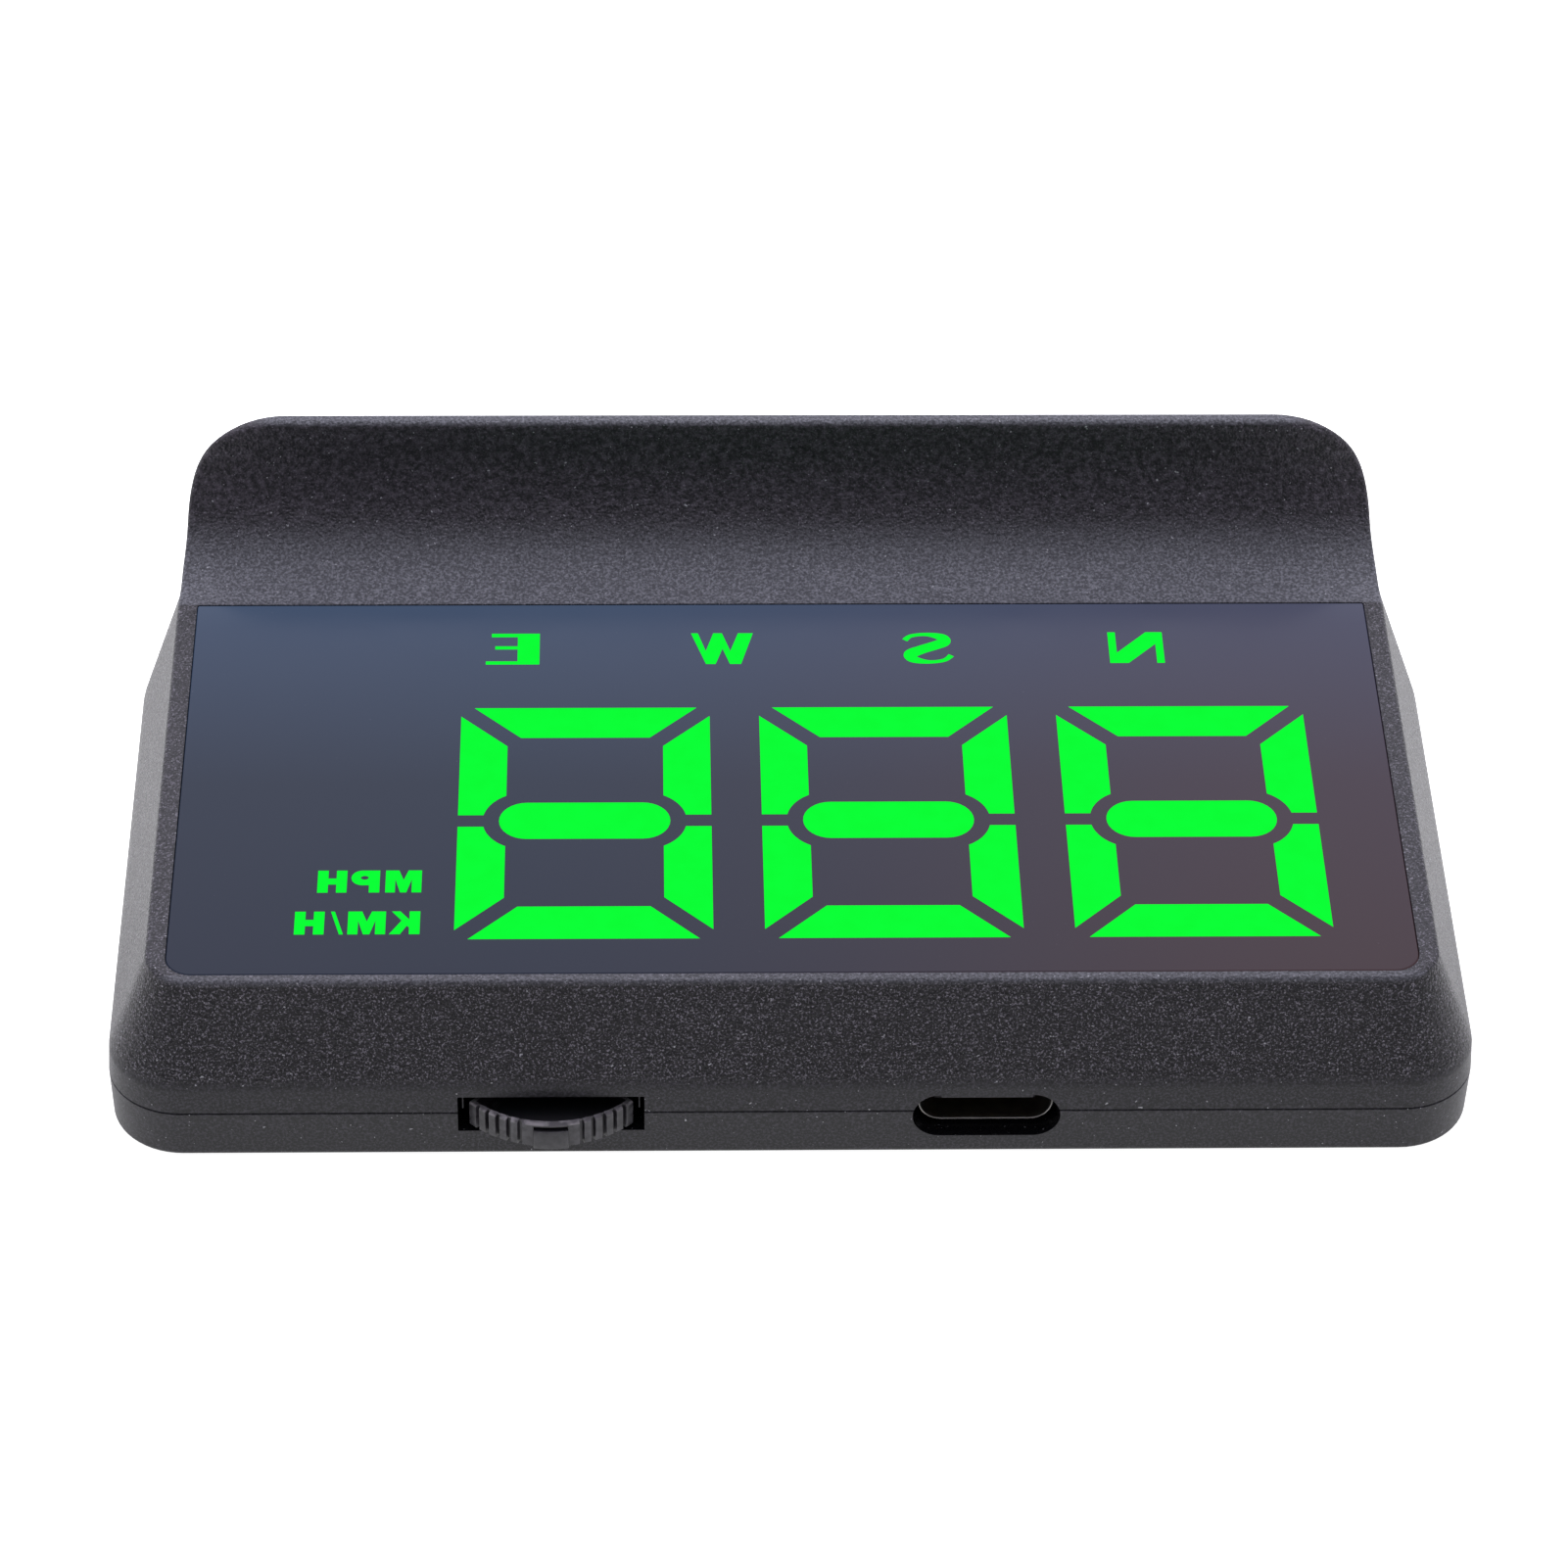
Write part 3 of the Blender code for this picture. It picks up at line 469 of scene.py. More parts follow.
def lower_row(z):
    inset = slope_inset(z)
    front = front_run(inset, z, back_inset(z))
    corner = BACK_RADIUS - inset
    run = rear_run(COVE_START, BACK - back_inset(z), corner)
    half = HALF_WIDTH - inset
    return front + [(half - d, y, z) for d, y in run[1:]]


def shell_half(bm, side):
    """One half of the upper housing's skin, and the runs that its other half is joined to."""
    def put(points):
        return [bm.verts.new((side * x, y, z)) for x, y, z in points]

    hood = [put(hood_row(station)) for station in hood_stations()]
    foot = PARTING + SEAM / 2
    heights = [foot, foot + 0.08, BAND_TOP - BAND_EASE, BAND_TOP, BAND_TOP + BAND_EASE,
               (BAND_TOP + EDGE_FOOT) / 2]
    lower = [put(lower_row(z)) for z in heights]
    turns = [SLOPE_TURN * (1 - i / EDGE_STEPS) for i in range(EDGE_STEPS + 1)]
    edge = []
    for i, turn in enumerate(turns):
        shift = EDGE * (sin(SLOPE_TURN) - sin(turn))
        z = BEZEL - EDGE * (1 - cos(turn))
        front = put(front_run(FOOT_INSET + shift, z, back_inset(EDGE_FOOT) + shift)[:-1])
        edge.append(front + [hood[0][EDGE_STEPS - i]])
    lower.append(edge[0] + hood[0][EDGE_STEPS + 1:])
    for rows in (lower, edge, hood):
        for below, above in zip(rows, rows[1:]):
            skin_strip(bm, below, above)
    fronts = [row[0] for row in lower] + [row[0] for row in edge[1:]]
    backs = [row[-1] for row in lower] + [row[-1] for row in hood[1:]]
    return {"fronts": fronts, "backs": backs, "cove": [row[0] for row in hood], "lip": hood[-1],
            "foot": lower[0], "bezel": edge[-1]}


def upper_skin():
    bm = bmesh.new()
    left, right = shell_half(bm, -1), shell_half(bm, 1)
    for run in ("fronts", "backs", "cove", "lip"):
        skin_strip(bm, left[run], right[run])
    for run in ("foot", "bezel"):
        bm.faces.new(left[run] + list(reversed(right[run])))
    return to_object("upper_housing_fine", bm)


def hood_hollow():
    inner = arc(COVE_START, BEZEL + COVE_RADIUS, COVE_RADIUS + WALL, 270, 310, 10)
    back = BACK - BACK_INSETS[2] - WALL
    below = BEZEL - 4
    profile = [(COVE_START, below)] + inner + [(back, inner[-1][1]), (back, below)]
    half = HALF_WIDTH - 8
    return skin("hood_hollow_cutter", [[(x, y, z) for y, z in profile] for x in (-half, half)])


DIAL_SLOT = (12.2, 2.18, 5.14)           # width, lowest and highest height above the underside
USB_CUTOUT = (9.7, 3.6)
USB_NOTCH = (6.04, 0.2)                  # the cut-out's top edge hangs lower along its middle


def dial_cutter(wider, start, taller):
    """A box through the dial's slot, from this far behind the front."""
    width, low, high = DIAL_SLOT
    reach = width / 2 + wider
    return block("dial_cutter", DIAL_AXIS.x - reach, DIAL_AXIS.x + reach, FRONT + start, FRONT + 4,
                 UNDERSIDE + low - taller, UNDERSIDE + high + taller)


def slot_ribs():
    """A thin moulded rib just inside each end of the dial's slot, hanging from its top."""
    width, _, high = DIAL_SLOT
    top = UNDERSIDE + high
    thin, inside = 0.07, 0.34
    return [block(f"slot_rib_{side}", x - thin / 2, x + thin / 2, FRONT + 0.35, FRONT + 0.78,
                  PARTING + SEAM, top + 0.1)
            for side in (-1, 1) for x in [DIAL_AXIS.x + side * (width / 2 - inside)]]


def usb_centre():
    return (SHELL_LOW.x + SHELL_HIGH.x) / 2, (SHELL_LOW.z + SHELL_HIGH.z) / 2


def usb_cutout():
    x, z = usb_centre()
    width, tall = USB_CUTOUT
    notch, drop = USB_NOTCH
    radius = tall / 2
    reach = width / 2 - radius
    outline = (arc(x + reach, z, radius, -90, 90, 16)
               + [(x + notch / 2, z + radius), (x + notch / 2 - 0.05, z + radius - drop),
                  (x - notch / 2 + 0.05, z + radius - drop), (x - notch / 2, z + radius)]
               + arc(x - reach, z, radius, 90, 270, 16))
    return front_prism("usb_cutter", [(FRONT - 2, outline), (FRONT + 4, outline)])


def openings():
    """Tools that cut the dial's slot, the room in which it turns, and the port's opening."""
    return [dial_cutter(0, -2, 0), dial_cutter(1.4, 0.8, 0.3), usb_cutout()]


# Screws: their places, then the radii and heights of the plastic around them
CASE_SCREWS = [(side * x, FRONT + y) for side in (-1, 1) for x, y in ((40.6, 4.7), (38.5, 47.2))]
BOARD_SCREWS = [(-30.0, FRONT + 3.75), (27.0, FRONT + 3.75), (-30.0, FRONT + 42.6), (30.0, FRONT + 42.6)]
CASE_BOSS = 2.2
CASE_PILLAR = 2.5
CASE_BORE = 1.15
CASE_BORE_TOP = UNDERSIDE + 9.4
HEAD_BORE = 2.05
HEAD_BORE_DEPTH = 1.5
BOARD_POST = 1.5
BOARD_BORE = 0.85
BOARD_BORE_TOP = UNDERSIDE + 9.15
BOARD_LOW, BOARD_HIGH = UNDERSIDE + 5.25, UNDERSIDE + 6.45
OVERLAP = 0.1                  # how far a post runs into what it stands on


def upper_housing():
    body = upper_skin()
    seat_floor = span("segment_mask")[1].z + CAD_GAP / 2
    ceiling = seat_floor - LENS_SHELF
    hollow = loft("hollow_cutter", [(PARTING - 1, case_outline(WALL)), (BAND_TOP, case_outline(WALL)),
                                    (ceiling, case_outline(SLOPE_WALL))])
    carve(body, [hollow, hood_hollow()])
    carve(body, cylinders(CASE_SCREWS, PARTING + 0.3, ceiling + OVERLAP, CASE_BOSS)
          + cylinders(BOARD_SCREWS, BOARD_HIGH, ceiling + OVERLAP, BOARD_POST), "UNION")
    carve(body, [prism("window_cutter", lens_outline(-WINDOW_MARGIN), ceiling - 1, BEZEL + 1),
                 prism("seat_cutter", lens_outline(LENS_SEAT_GAP), seat_floor, BEZEL + 1)]
          + openings()
          + cylinders(CASE_SCREWS, UNDERSIDE + 3, CASE_BORE_TOP, CASE_BORE)
          + cylinders(BOARD_SCREWS, BOARD_LOW, BOARD_BORE_TOP, BOARD_BORE))
    carve(body, slot_ribs(), "UNION")
    place(body, grained_plastic(), "case_plastic", replaces=["upper_housing"])
    paint_opening_shade(body)


# ---- bottom cover and underside ----
COVER_EDGE = 0.38
CASE_SCREW = (0.9, 1.8, 1.1, 7.6)        # shank radius, head radius, head height, length
BOARD_SCREW = (0.6, 1.2, 0.6, 3.0)
PAD_CORNER = 4.0
PAD_GAP = 0.15                 # between the pad and the walls of its recess
SOUND_SLOT = (7.0, 0.7)
SOUND_SLOTS = [(18.0, FRONT + 46.0 + 1.4 * i) for i in range(4)]


def pad_outline(grow):
    return grown_outline(PAD_LOW, PAD_HIGH, grow, PAD_CORNER + grow, PAD_CORNER + grow)


def cover_rings():
    """The cover's rounded foot, its wall, and the lip that stands inside the upper housing."""
    foot = 0.12
    rings = [(UNDERSIDE + COVER_EDGE * (1 - cos(turn)),
              case_outline(foot + COVER_EDGE * (1 - sin(turn)))) for turn in quarter(6)]
    joint = PARTING - SEAM / 2
    lip = WALL + CAD_GAP
    return rings + [(joint - 0.06, case_outline(0.0)), (joint, case_outline(0.06)),
                    (joint, case_outline(lip)), (joint + 0.9, case_outline(lip)),
                    (joint + 1.0, case_outline(lip + 0.1))]


def bottom_cover():
    body = loft("bottom_cover_fine", cover_rings())
    joint = PARTING - SEAM / 2
    inside = UNDERSIDE + COVER_FLOOR
    carve(body, [prism("hollow_cutter", case_outline(WALL + CAD_GAP + 0.7), inside, joint + 2)])
    below = UNDERSIDE - 1
    carve(body, cylinders(CASE_SCREWS, UNDERSIDE + COVER_FLOOR / 2, joint, CASE_PILLAR), "UNION")
    bores = ((below, joint + 1, CASE_BORE), (below, UNDERSIDE + HEAD_BORE_DEPTH, HEAD_BORE),
             (joint, joint + 2, CASE_PILLAR))
    carve(body, [prism("pad_recess_cutter", pad_outline(PAD_GAP), below, PAD_HIGH.z + CAD_GAP / 2)]
          + openings() + [cylinder("bore", x, y, *bore) for x, y in CASE_SCREWS for bore in bores]
          + [prism("sound_slot_cutter", stadium(x, y, *SOUND_SLOT), below, inside + 1)
             for x, y in SOUND_SLOTS])
    place(body, satin_plastic(), "case_plastic", replaces=["bottom_cover"])
    paint_opening_shade(body)


def paint_opening_shade(obj):
    """The walls of the dial's slot and of the port's cut-out get painted shade: a gloss black where the
    plastic lies in shade.
    """
    obj.data.materials.append(painted_opening_shade())
    dial_reach = DIAL_SLOT[0] / 2 + 0.02
    port_x, _ = usb_centre()
    port_reach = USB_CUTOUT[0] / 2 + 0.02
    for face in obj.data.polygons:
        middle = Vector(face.center) / MM
        near_dial = abs(middle.x - DIAL_AXIS.x) < dial_reach
        near_port = abs(middle.x - port_x) < port_reach
        behind_face = FRONT + 0.05 < middle.y < FRONT + 1.7
        if behind_face and (near_dial or near_port) and abs(face.normal.y) < 0.9:
            face.material_index = 1


def non_slip_pad():
    """Soft sheet with a rounded rim and a shallow groove inside it."""
    low, high = PAD_LOW.z, PAD_HIGH.z
    edge = 0.18
    rings = [(high, pad_outline(0))]
    rings += [(low + edge * (1 - sin(turn)), pad_outline(-edge * (1 - cos(turn)))) for turn in quarter(4)]
    groove, width, depth = 2.0, 0.7, 0.18
    rings += [(low, pad_outline(-groove)), (low + depth, pad_outline(-groove - 0.1)),
              (low + depth, pad_outline(-groove - width + 0.1)), (low, pad_outline(-groove - width))]
    pad = loft("non_slip_pad_fine", rings)
    place(pad, rubber(), "rubber", replaces=["non_slip_pad"])


def screw(name, node, x, y, seat, sizes):
    """Pan head with a cross recess, and a threaded shank."""
    shank, head, head_height, length = sizes
    base = seat - head_height
    profile = [(0.25 * head, base)]
    profile += [(head * (0.72 + 0.28 * sin(turn)), base + head_height * 0.55 * (1 - cos(turn)))
                for turn in quarter(4)]
    profile += [(head, seat), (shank, seat)]
    pitch = 0.5 if length > 5 else 0.3
    turns = int((length - 0.6) / pitch)
    for i in range(turns):
        z = seat + 0.3 + i * pitch
        profile += [(shank * 0.8, z), (shank, z + pitch / 2)]
    profile += [(shank * 0.8, seat + length - 0.2), (shank * 0.55, seat + length)]
    body = loft(name, [(z, circle(x, y, radius, 32)) for radius, z in profile], 30.0)
    arm, thin = head * 0.55, head * 0.13
    cross = [(arm, thin), (thin, thin), (thin, arm), (-thin, arm), (-thin, thin), (-arm, thin),
             (-arm, -thin), (-thin, -thin), (-thin, -arm), (thin, -arm), (thin, -thin), (arm, -thin)]
    recess = loft(f"{name}_recess", [(base - 0.5, shifted(scaled(cross, 1.1, 1.1), x, y)),
                                     (base + head_height * 0.6, shifted(scaled(cross, 0.6, 0.6), x, y))])
    carve(body, [recess])
    place(body, steel("screw_steel", (0.5, 0.5, 0.52), 0.32), "steel", replaces=[node])


def screws():
    corners = [f"{end}_{side}" for side in ("left", "right") for end in ("front", "back")]
    for corner, (x, y) in zip(corners, CASE_SCREWS):
        screw(f"case_screw_{corner}_fine", f"case_screw_{corner}", x, y,
              UNDERSIDE + HEAD_BORE_DEPTH - CAD_GAP, CASE_SCREW)
    corners = ("front_left", "front_right", "back_left", "back_right")
    for corner, (x, y) in zip(corners, BOARD_SCREWS):
        screw(f"board_screw_{corner}_fine", f"pcb_screw_{corner}", x, y, BOARD_LOW - CAD_GAP, BOARD_SCREW)


# ---- display ----
def display_lens():
    rings = [(LENS_LOW.z, lens_outline(0))]
    rings += [(LENS_HIGH.z - LENS_EDGE * (1 - sin(turn)), lens_outline(-LENS_EDGE * (1 - cos(turn))))
              for turn in quarter(3)]
    lens = loft("display_lens_fine", rings)
    place(lens, smoked_lens(), "smoked_lens", replaces=["display_lens"])


def digit_bars(cx, cy):
    """The seven bars of one digit."""
    half_w, half_h = DIGIT_SIZE[0] / 2, DIGIT_SIZE[1] / 2
    inner_w, inner_h = half_w - BAR, half_h - BAR
    middle_w, middle_h = MIDDLE_BAR
    ring = middle_h / 2 + MIDDLE_CLEARANCE
    end_x = middle_w / 2 - middle_h / 2
    low = BAR_SPLIT / 2
    start = degrees(asin(low / ring))
    stop = degrees(acos((inner_w - end_x) / ring))
    across = [(half_w - BAR_SETBACK, half_h), (inner_w - BAR_SETBACK, inner_h),
              (BAR_SETBACK - inner_w, inner_h), (BAR_SETBACK - half_w, half_h)]
    upright = ([(half_w, low), (half_w, half_h - BAR_SETBACK), (inner_w, inner_h - BAR_SETBACK)]
               + arc(end_x, 0, ring, stop, start, 10))
    bars = [scaled(upright, sx, sy) for sx in (-1, 1) for sy in (-1, 1)]
    bars += [scaled(across, 1, sy) for sy in (-1, 1)]
    bars.append(stadium(0, 0, middle_w, middle_h, 16))
    return [shifted(points, cx, cy) for points in bars]


def brush_stroke(path):
    """The outline of a stroke through (x, y, half width) points, smoothed between them."""
    fine = []
    count = len(path)
    for i in range(count - 1):
        a, b, c, d = (path[max(0, min(count - 1, i + k))] for k in (-1, 0, 1, 2))
        for step in range(8):
            t = step / 8
            fine.append(tuple(0.5 * (2 * q + (r - p) * t + (2 * p - 5 * q + 4 * r - e) * t ** 2
                                     + (3 * q - p - 3 * r + e) * t ** 3)
                              for p, q, r, e in zip(a, b, c, d)))
    fine.append(path[-1])
    sides = ([], [])
    for i, (x, y, half) in enumerate(fine):
        before, after = fine[max(0, i - 1)], fine[min(len(fine) - 1, i + 1)]
        dx, dy = after[0] - before[0], after[1] - before[1]
        length = hypot(dx, dy)
        sides[0].append((x - dy / length * half, y + dx / length * half))
        sides[1].append((x + dy / length * half, y - dx / length * half))
    return sides[0] + list(reversed(sides[1]))


# Plain block letters of the builder's own, in a box 1 wide and 1 tall, as they read.
# Each is a list of loops: an outline, then any holes in it.
LETTERS = {
    "E": [[(0, 0), (0, 1), (0.90, 1), (0.90, 0.89), (0.41, 0.89), (0.41, 0.59), (0.83, 0.59),
           (0.83, 0.49), (0.41, 0.49), (0.41, 0.1), (1, 0.1), (1, 0)]],
    "W": [[(0, 1), (0.24, 1), (0.37, 0.42), (0.50, 1), (0.64, 1), (0.765, 0.42), (0.89, 1), (1, 1),
           (0.765, 0), (0.61, 0), (0.495, 0.5), (0.38, 0), (0.2, 0)]],
    "N": [[(0, 0), (0, 1), (0.3, 1), (0.86, 0.33), (0.86, 1), (1, 1), (1, 0), (0.66, 0),
           (0.14, 0.62), (0.14, 0)]],
    "S": [brush_stroke([(0.93, 0.76, 0.06), (0.80, 0.90, 0.05), (0.50, 0.945, 0.055), (0.22, 0.85, 0.11),
                        (0.18, 0.70, 0.13), (0.34, 0.59, 0.13), (0.62, 0.45, 0.13), (0.82, 0.31, 0.14),
                        (0.78, 0.14, 0.11), (0.50, 0.05, 0.055), (0.20, 0.10, 0.05), (0.05, 0.26, 0.06)])],
    "H": [[(0, 0), (0, 1), (0.36, 1), (0.36, 0.64), (0.64, 0.64), (0.64, 1), (1, 1), (1, 0),
           (0.64, 0), (0.64, 0.37), (0.36, 0.37), (0.36, 0)]],
    "M": [[(0, 0), (0, 1), (0.37, 1), (0.5, 0.56), (0.63, 1), (1, 1), (1, 0), (0.73, 0), (0.73, 0.6),
           (0.585, 0), (0.415, 0), (0.27, 0.6), (0.27, 0)]],
    "P": [[(0, 0), (0, 1), (0.6, 1)] + scaled(shifted(arc(0, 0, 1, 80, -80, 12), 1.5, 2.0), 0.4, 0.333)
          + [(0.6, 0.333), (0.37, 0.333), (0.37, 0)],
          scaled(circle(0.53 / 0.14, 0.67 / 0.09, 1, 16), 0.14, 0.09)],
    "K": [[(0, 0), (0, 1), (0.35, 1), (0.35, 0.64), (0.65, 1), (0.93, 1), (0.60, 0.60), (1, 0),
           (0.64, 0), (0.43, 0.37), (0.35, 0.30), (0.35, 0)]],
    "/": [[(0, 0), (0.3, 0), (1, 1), (0.7, 1)]],
}


def mirrored_letter(letter, x0, x1, y0, y1):
    """A letter's loops in a box on the lens, turned left for right to read in the windscreen."""
    return [[(x1 - (x1 - x0) * u, y0 + (y1 - y0) * v) for u, v in loop] for loop in LETTERS[letter]]


# The compass row: each letter and where it stands
COMPASS = (("E", -20.6, -16.9), ("W", -6.4, -2.1), ("S", 8.2, 11.8), ("N", 22.6, 26.4))
COMPASS_ROW = (FRONT + 35.5, FRONT + 38.9)
# The units: each word's letters, with their start and end as shares of its width, then its box
UNITS = (((("M", 0.0, 0.347), ("P", 0.403, 0.677), ("H", 0.718, 1.0)),
          -31.25, -24.4, FRONT + 11.6, FRONT + 13.8),
         ((("K", 0.0, 0.244), ("M", 0.274, 0.575), ("/", 0.609, 0.714), ("H", 0.763, 1.0)),
          -32.6, -24.4, FRONT + 7.45, FRONT + 9.7))


def display_marks():
    """Every lit shape as a list of loops.  A word's letters run from right to left."""
    cx, cy = DIGITS_CENTRE
    marks = [[bar] for i in (-1, 0, 1) for bar in digit_bars(cx + i * DIGIT_PITCH, cy)]
    marks += [mirrored_letter(letter, x0, x1, *COMPASS_ROW) for letter, x0, x1 in COMPASS]
    for word, x0, x1, y0, y1 in UNITS:
        marks += [mirrored_letter(letter, x1 - (x1 - x0) * end, x1 - (x1 - x0) * start, y0, y1)
                  for letter, start, end in word]
    return marks


def lit_marks():
    """Thin green plates let into the lens's top face."""
    top = LENS_HIGH.z + MARK_PROUD
    bm = bmesh.new()
    for loops in display_marks():
        edges = []
        for loop in loops:
            verts = [bm.verts.new((x, y, top - MARK_THICKNESS)) for x, y in loop]
            edges += [bm.edges.new((v, verts[(i + 1) % len(verts)])) for i, v in enumerate(verts)]
        bmesh.ops.triangle_fill(bm, use_beauty=True, use_dissolve=False, edges=edges)
    raised = bmesh.ops.extrude_face_region(bm, geom=list(bm.faces))["geom"]
    moved = [item for item in raised if isinstance(item, bmesh.types.BMVert)]
    bmesh.ops.translate(bm, verts=moved, vec=(0, 0, MARK_THICKNESS))
    marks = to_object("lit_marks", bm)
    place(marks, lit_green(), "green_diffuser", replaces=["segment_diffuser"])


# ---- thumb dial ----
DIAL_RADIUS = 7.5
RIB_START = 14.5                         # degrees from the middle of the tab
RIB_PITCH = 6.0
RIBS = 5
RIB_DEPTH = 0.32
GROOVE = (0.05, 0.1, 0.34, 0.42)         # start, full depth, rise and end, as shares of the pitch
SECTOR_HALF = 45.5                       # the dial ends this many degrees to each side of its tab
RIM_DEPTH = 2.9
RIM_WALL = 0.17                          # between the grooves and the hollow top
DIAL_EDGE = 0.09
DIAL_FLOOR = 0.45                        # web and hub start this far above the dial's lowest face
WEB_RADIUS = 5.3
HUB_RADIUS = 2.2
BORE_RADIUS = 0.65
HOLLOW_DEPTH = 1.0
TAB_HALF = 1.13
TAB_PROUD = 0.2
TAB_TOP = 0.5                            # the tab's face ends this far below the dial's top


def rim_point(angle):
    """The ribbed rim's radius at an angle from the tab, in degrees."""
    start, deep, rise, end = GROOVE
    beyond = abs(angle) - RIB_START
    share = (beyond % RIB_PITCH) / RIB_PITCH
    if beyond < 0 or beyond > RIBS * RIB_PITCH or share < start or share > end:
        return DIAL_RADIUS
    return DIAL_RADIUS - RIB_DEPTH * min(1.0, share / deep, (end - share) / (end - rise))


def dial_wheel():
    low, high = DIAL_LOW.z, DIAL_HIGH.z
    angles = sorted({round(side * (RIB_START + (i + share) * RIB_PITCH), 4)
                     for side in (-1, 1) for i in range(RIBS) for share in (0.0, 0.22, 0.7, *GROOVE)} |
                    {round(SECTOR_HALF * (i / 24 - 1), 4) for i in range(49)})
    angles = [a for a in angles if abs(a) <= SECTOR_HALF]

    def ring(z, inset):
        return z, [polar(rim_point(a) - inset, a) for a in angles] \
            + [polar(DIAL_RADIUS - RIM_DEPTH, a) for a in reversed(angles)]

    rim = loft("dial_wheel_fine", [ring(low, DIAL_EDGE), ring(low + DIAL_EDGE, 0.0),
                                   ring(high - DIAL_EDGE, 0.0), ring(high, DIAL_EDGE)], 30.0)
    x, y, _ = DIAL_AXIS
    web = prism("web", arc(x, y + 0.4, WEB_RADIUS, 180, 360, 24), low + DIAL_FLOOR, high - HOLLOW_DEPTH)
    hub = cylinder("hub", x, y, low + DIAL_FLOOR, high - 0.55, HUB_RADIUS)
    tab_angle = degrees(TAB_HALF / DIAL_RADIUS)
    face = [polar(DIAL_RADIUS + TAB_PROUD, -tab_angle + tab_angle * i / 4) for i in range(9)]
    back = [polar(DIAL_RADIUS - 0.3, tab_angle * 1.05), polar(DIAL_RADIUS - 0.3, -tab_angle * 1.05)]
    tab = prism("tab", face + back, low, high - TAB_TOP)
    soften(tab, 0.07, 2)
    carve(rim, [web, hub, tab], "UNION")
    outer = [polar(DIAL_RADIUS - RIB_DEPTH - RIM_WALL + 0.12, a) for a in range(-44, 45, 4)]
    inner = [polar(3.2, a) for a in range(44, -45, -8)]
    recess = prism("recess", outer + inner, high - HOLLOW_DEPTH, high + 1)
    step = prism("step", [polar(DIAL_RADIUS + reach, side * tab_angle)
                          for reach, side in ((0.4, -1), (0.4, 1), (-0.16, 1), (-0.16, -1))],
                 high - TAB_TOP, high - 0.22)
    bore = cylinder("bore", x, y, low - 1, high + 1, BORE_RADIUS)
    carve(rim, [recess, step, bore])
    place(rim, dial_plastic(), "black_plastic", body="dial", replaces=["dial_wheel"])


def snap_dome():
    """The dial switch's snap dome, drawn at rest; the real dome flattens as the dial is pressed."""
    low, high = span("press_dome")
    middle = (low + high) / 2
    turns = [radians(turn) for turn in range(80, -1, -10)]
    rings = [(high.y - (high.y - low.y) * sin(turn) / sin(turns[0]),
              circle(middle.x, middle.z, (high.x - middle.x) * cos(turn), 24)) for turn in turns]
    dome = front_prism("snap_dome", rings)
    place(dome, steel(*PART_STEEL), "steel", replaces=["press_dome"])
    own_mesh(dome)


def polar(radius, angle):
    """A point at an angle from the dial's front, around its axis."""
    a = radians(angle)
    return DIAL_AXIS.x + radius * sin(a), DIAL_AXIS.y - radius * cos(a)


# ---- USB-C port ----
SHELL_WALL = 0.15
SHELL_SETBACK = 0.36                     # the visible mouth stands this far behind the CAD's
PLUG = (6.0, 7.25)                       # front and back, behind the CAD's mouth
TONGUE = (3.35, 0.35, 1.1, 6.5)          # half width, half thickness, front and back
CONTACT = (0.26, 0.04, 1.5, 5.0)         # width, thickness, front and back
CONTACTS = 12
CONTACT_PITCH = 0.5


def port_outline(grow):
    x, z = usb_centre()
    return stadium(x, z, SHELL_HIGH.x - SHELL_LOW.x + 2 * grow, SHELL_HIGH.z - SHELL_LOW.z + 2 * grow, 16)


def usb_shell():
    """Drawn steel tube with a rounded mouth."""
    front, back = SHELL_LOW.y + SHELL_SETBACK, SHELL_HIGH.y
    half = SHELL_WALL / 2
    lip = [(front + half * (1 - sin(turn)), -half + half * cos(turn))
           for turn in (pi * i / 8 for i in range(9))]
    rings = [(back, 0.0)] + lip + [(back, -SHELL_WALL)]
    shell = front_prism("usb_shell_fine", [(y, port_outline(grow)) for y, grow in rings], ends=False)
    place(shell, steel("port_steel", (0.36, 0.35, 0.33), 0.34), "steel", replaces=["usb_c_shell"])


def usb_tongue():
    """Black tongue with twelve gilt contacts on each face, on the plug that closes the shell."""
    x, z = usb_centre()
    front = SHELL_LOW.y
    start, end = PLUG
    closed = port_outline(-SHELL_WALL - 0.1)
    plug = front_prism("usb_tongue_fine", [(front + start - 0.1, port_outline(-SHELL_WALL - 0.2)),
                                           (front + start, closed), (front + end, closed)])
    half, thick, start, end = TONGUE
    blade = block("blade", x - half, x + half, front + start, front + end, z - thick, z + thick)
    soften(blade, 0.12, 2)
    carve(plug, [blade], "UNION")
    place(plug, moulded_black("tongue_plastic", 0.32), "black_plastic", replaces=["usb_c_tongue"])
    width, thick, start, end = CONTACT
    for i in range(CONTACTS):
        left = x + CONTACT_PITCH * (i - CONTACTS / 2) + (CONTACT_PITCH - width) / 2
        for face, level in (("upper", z + 0.33), ("lower", z - 0.37)):
            contact = block(f"usb_contact_{face}_{i}", left, left + width, front + start, front + end,
                            level, level + thick)
            soften(contact, 0.01, 1)
            place(contact, gilt(), "steel")


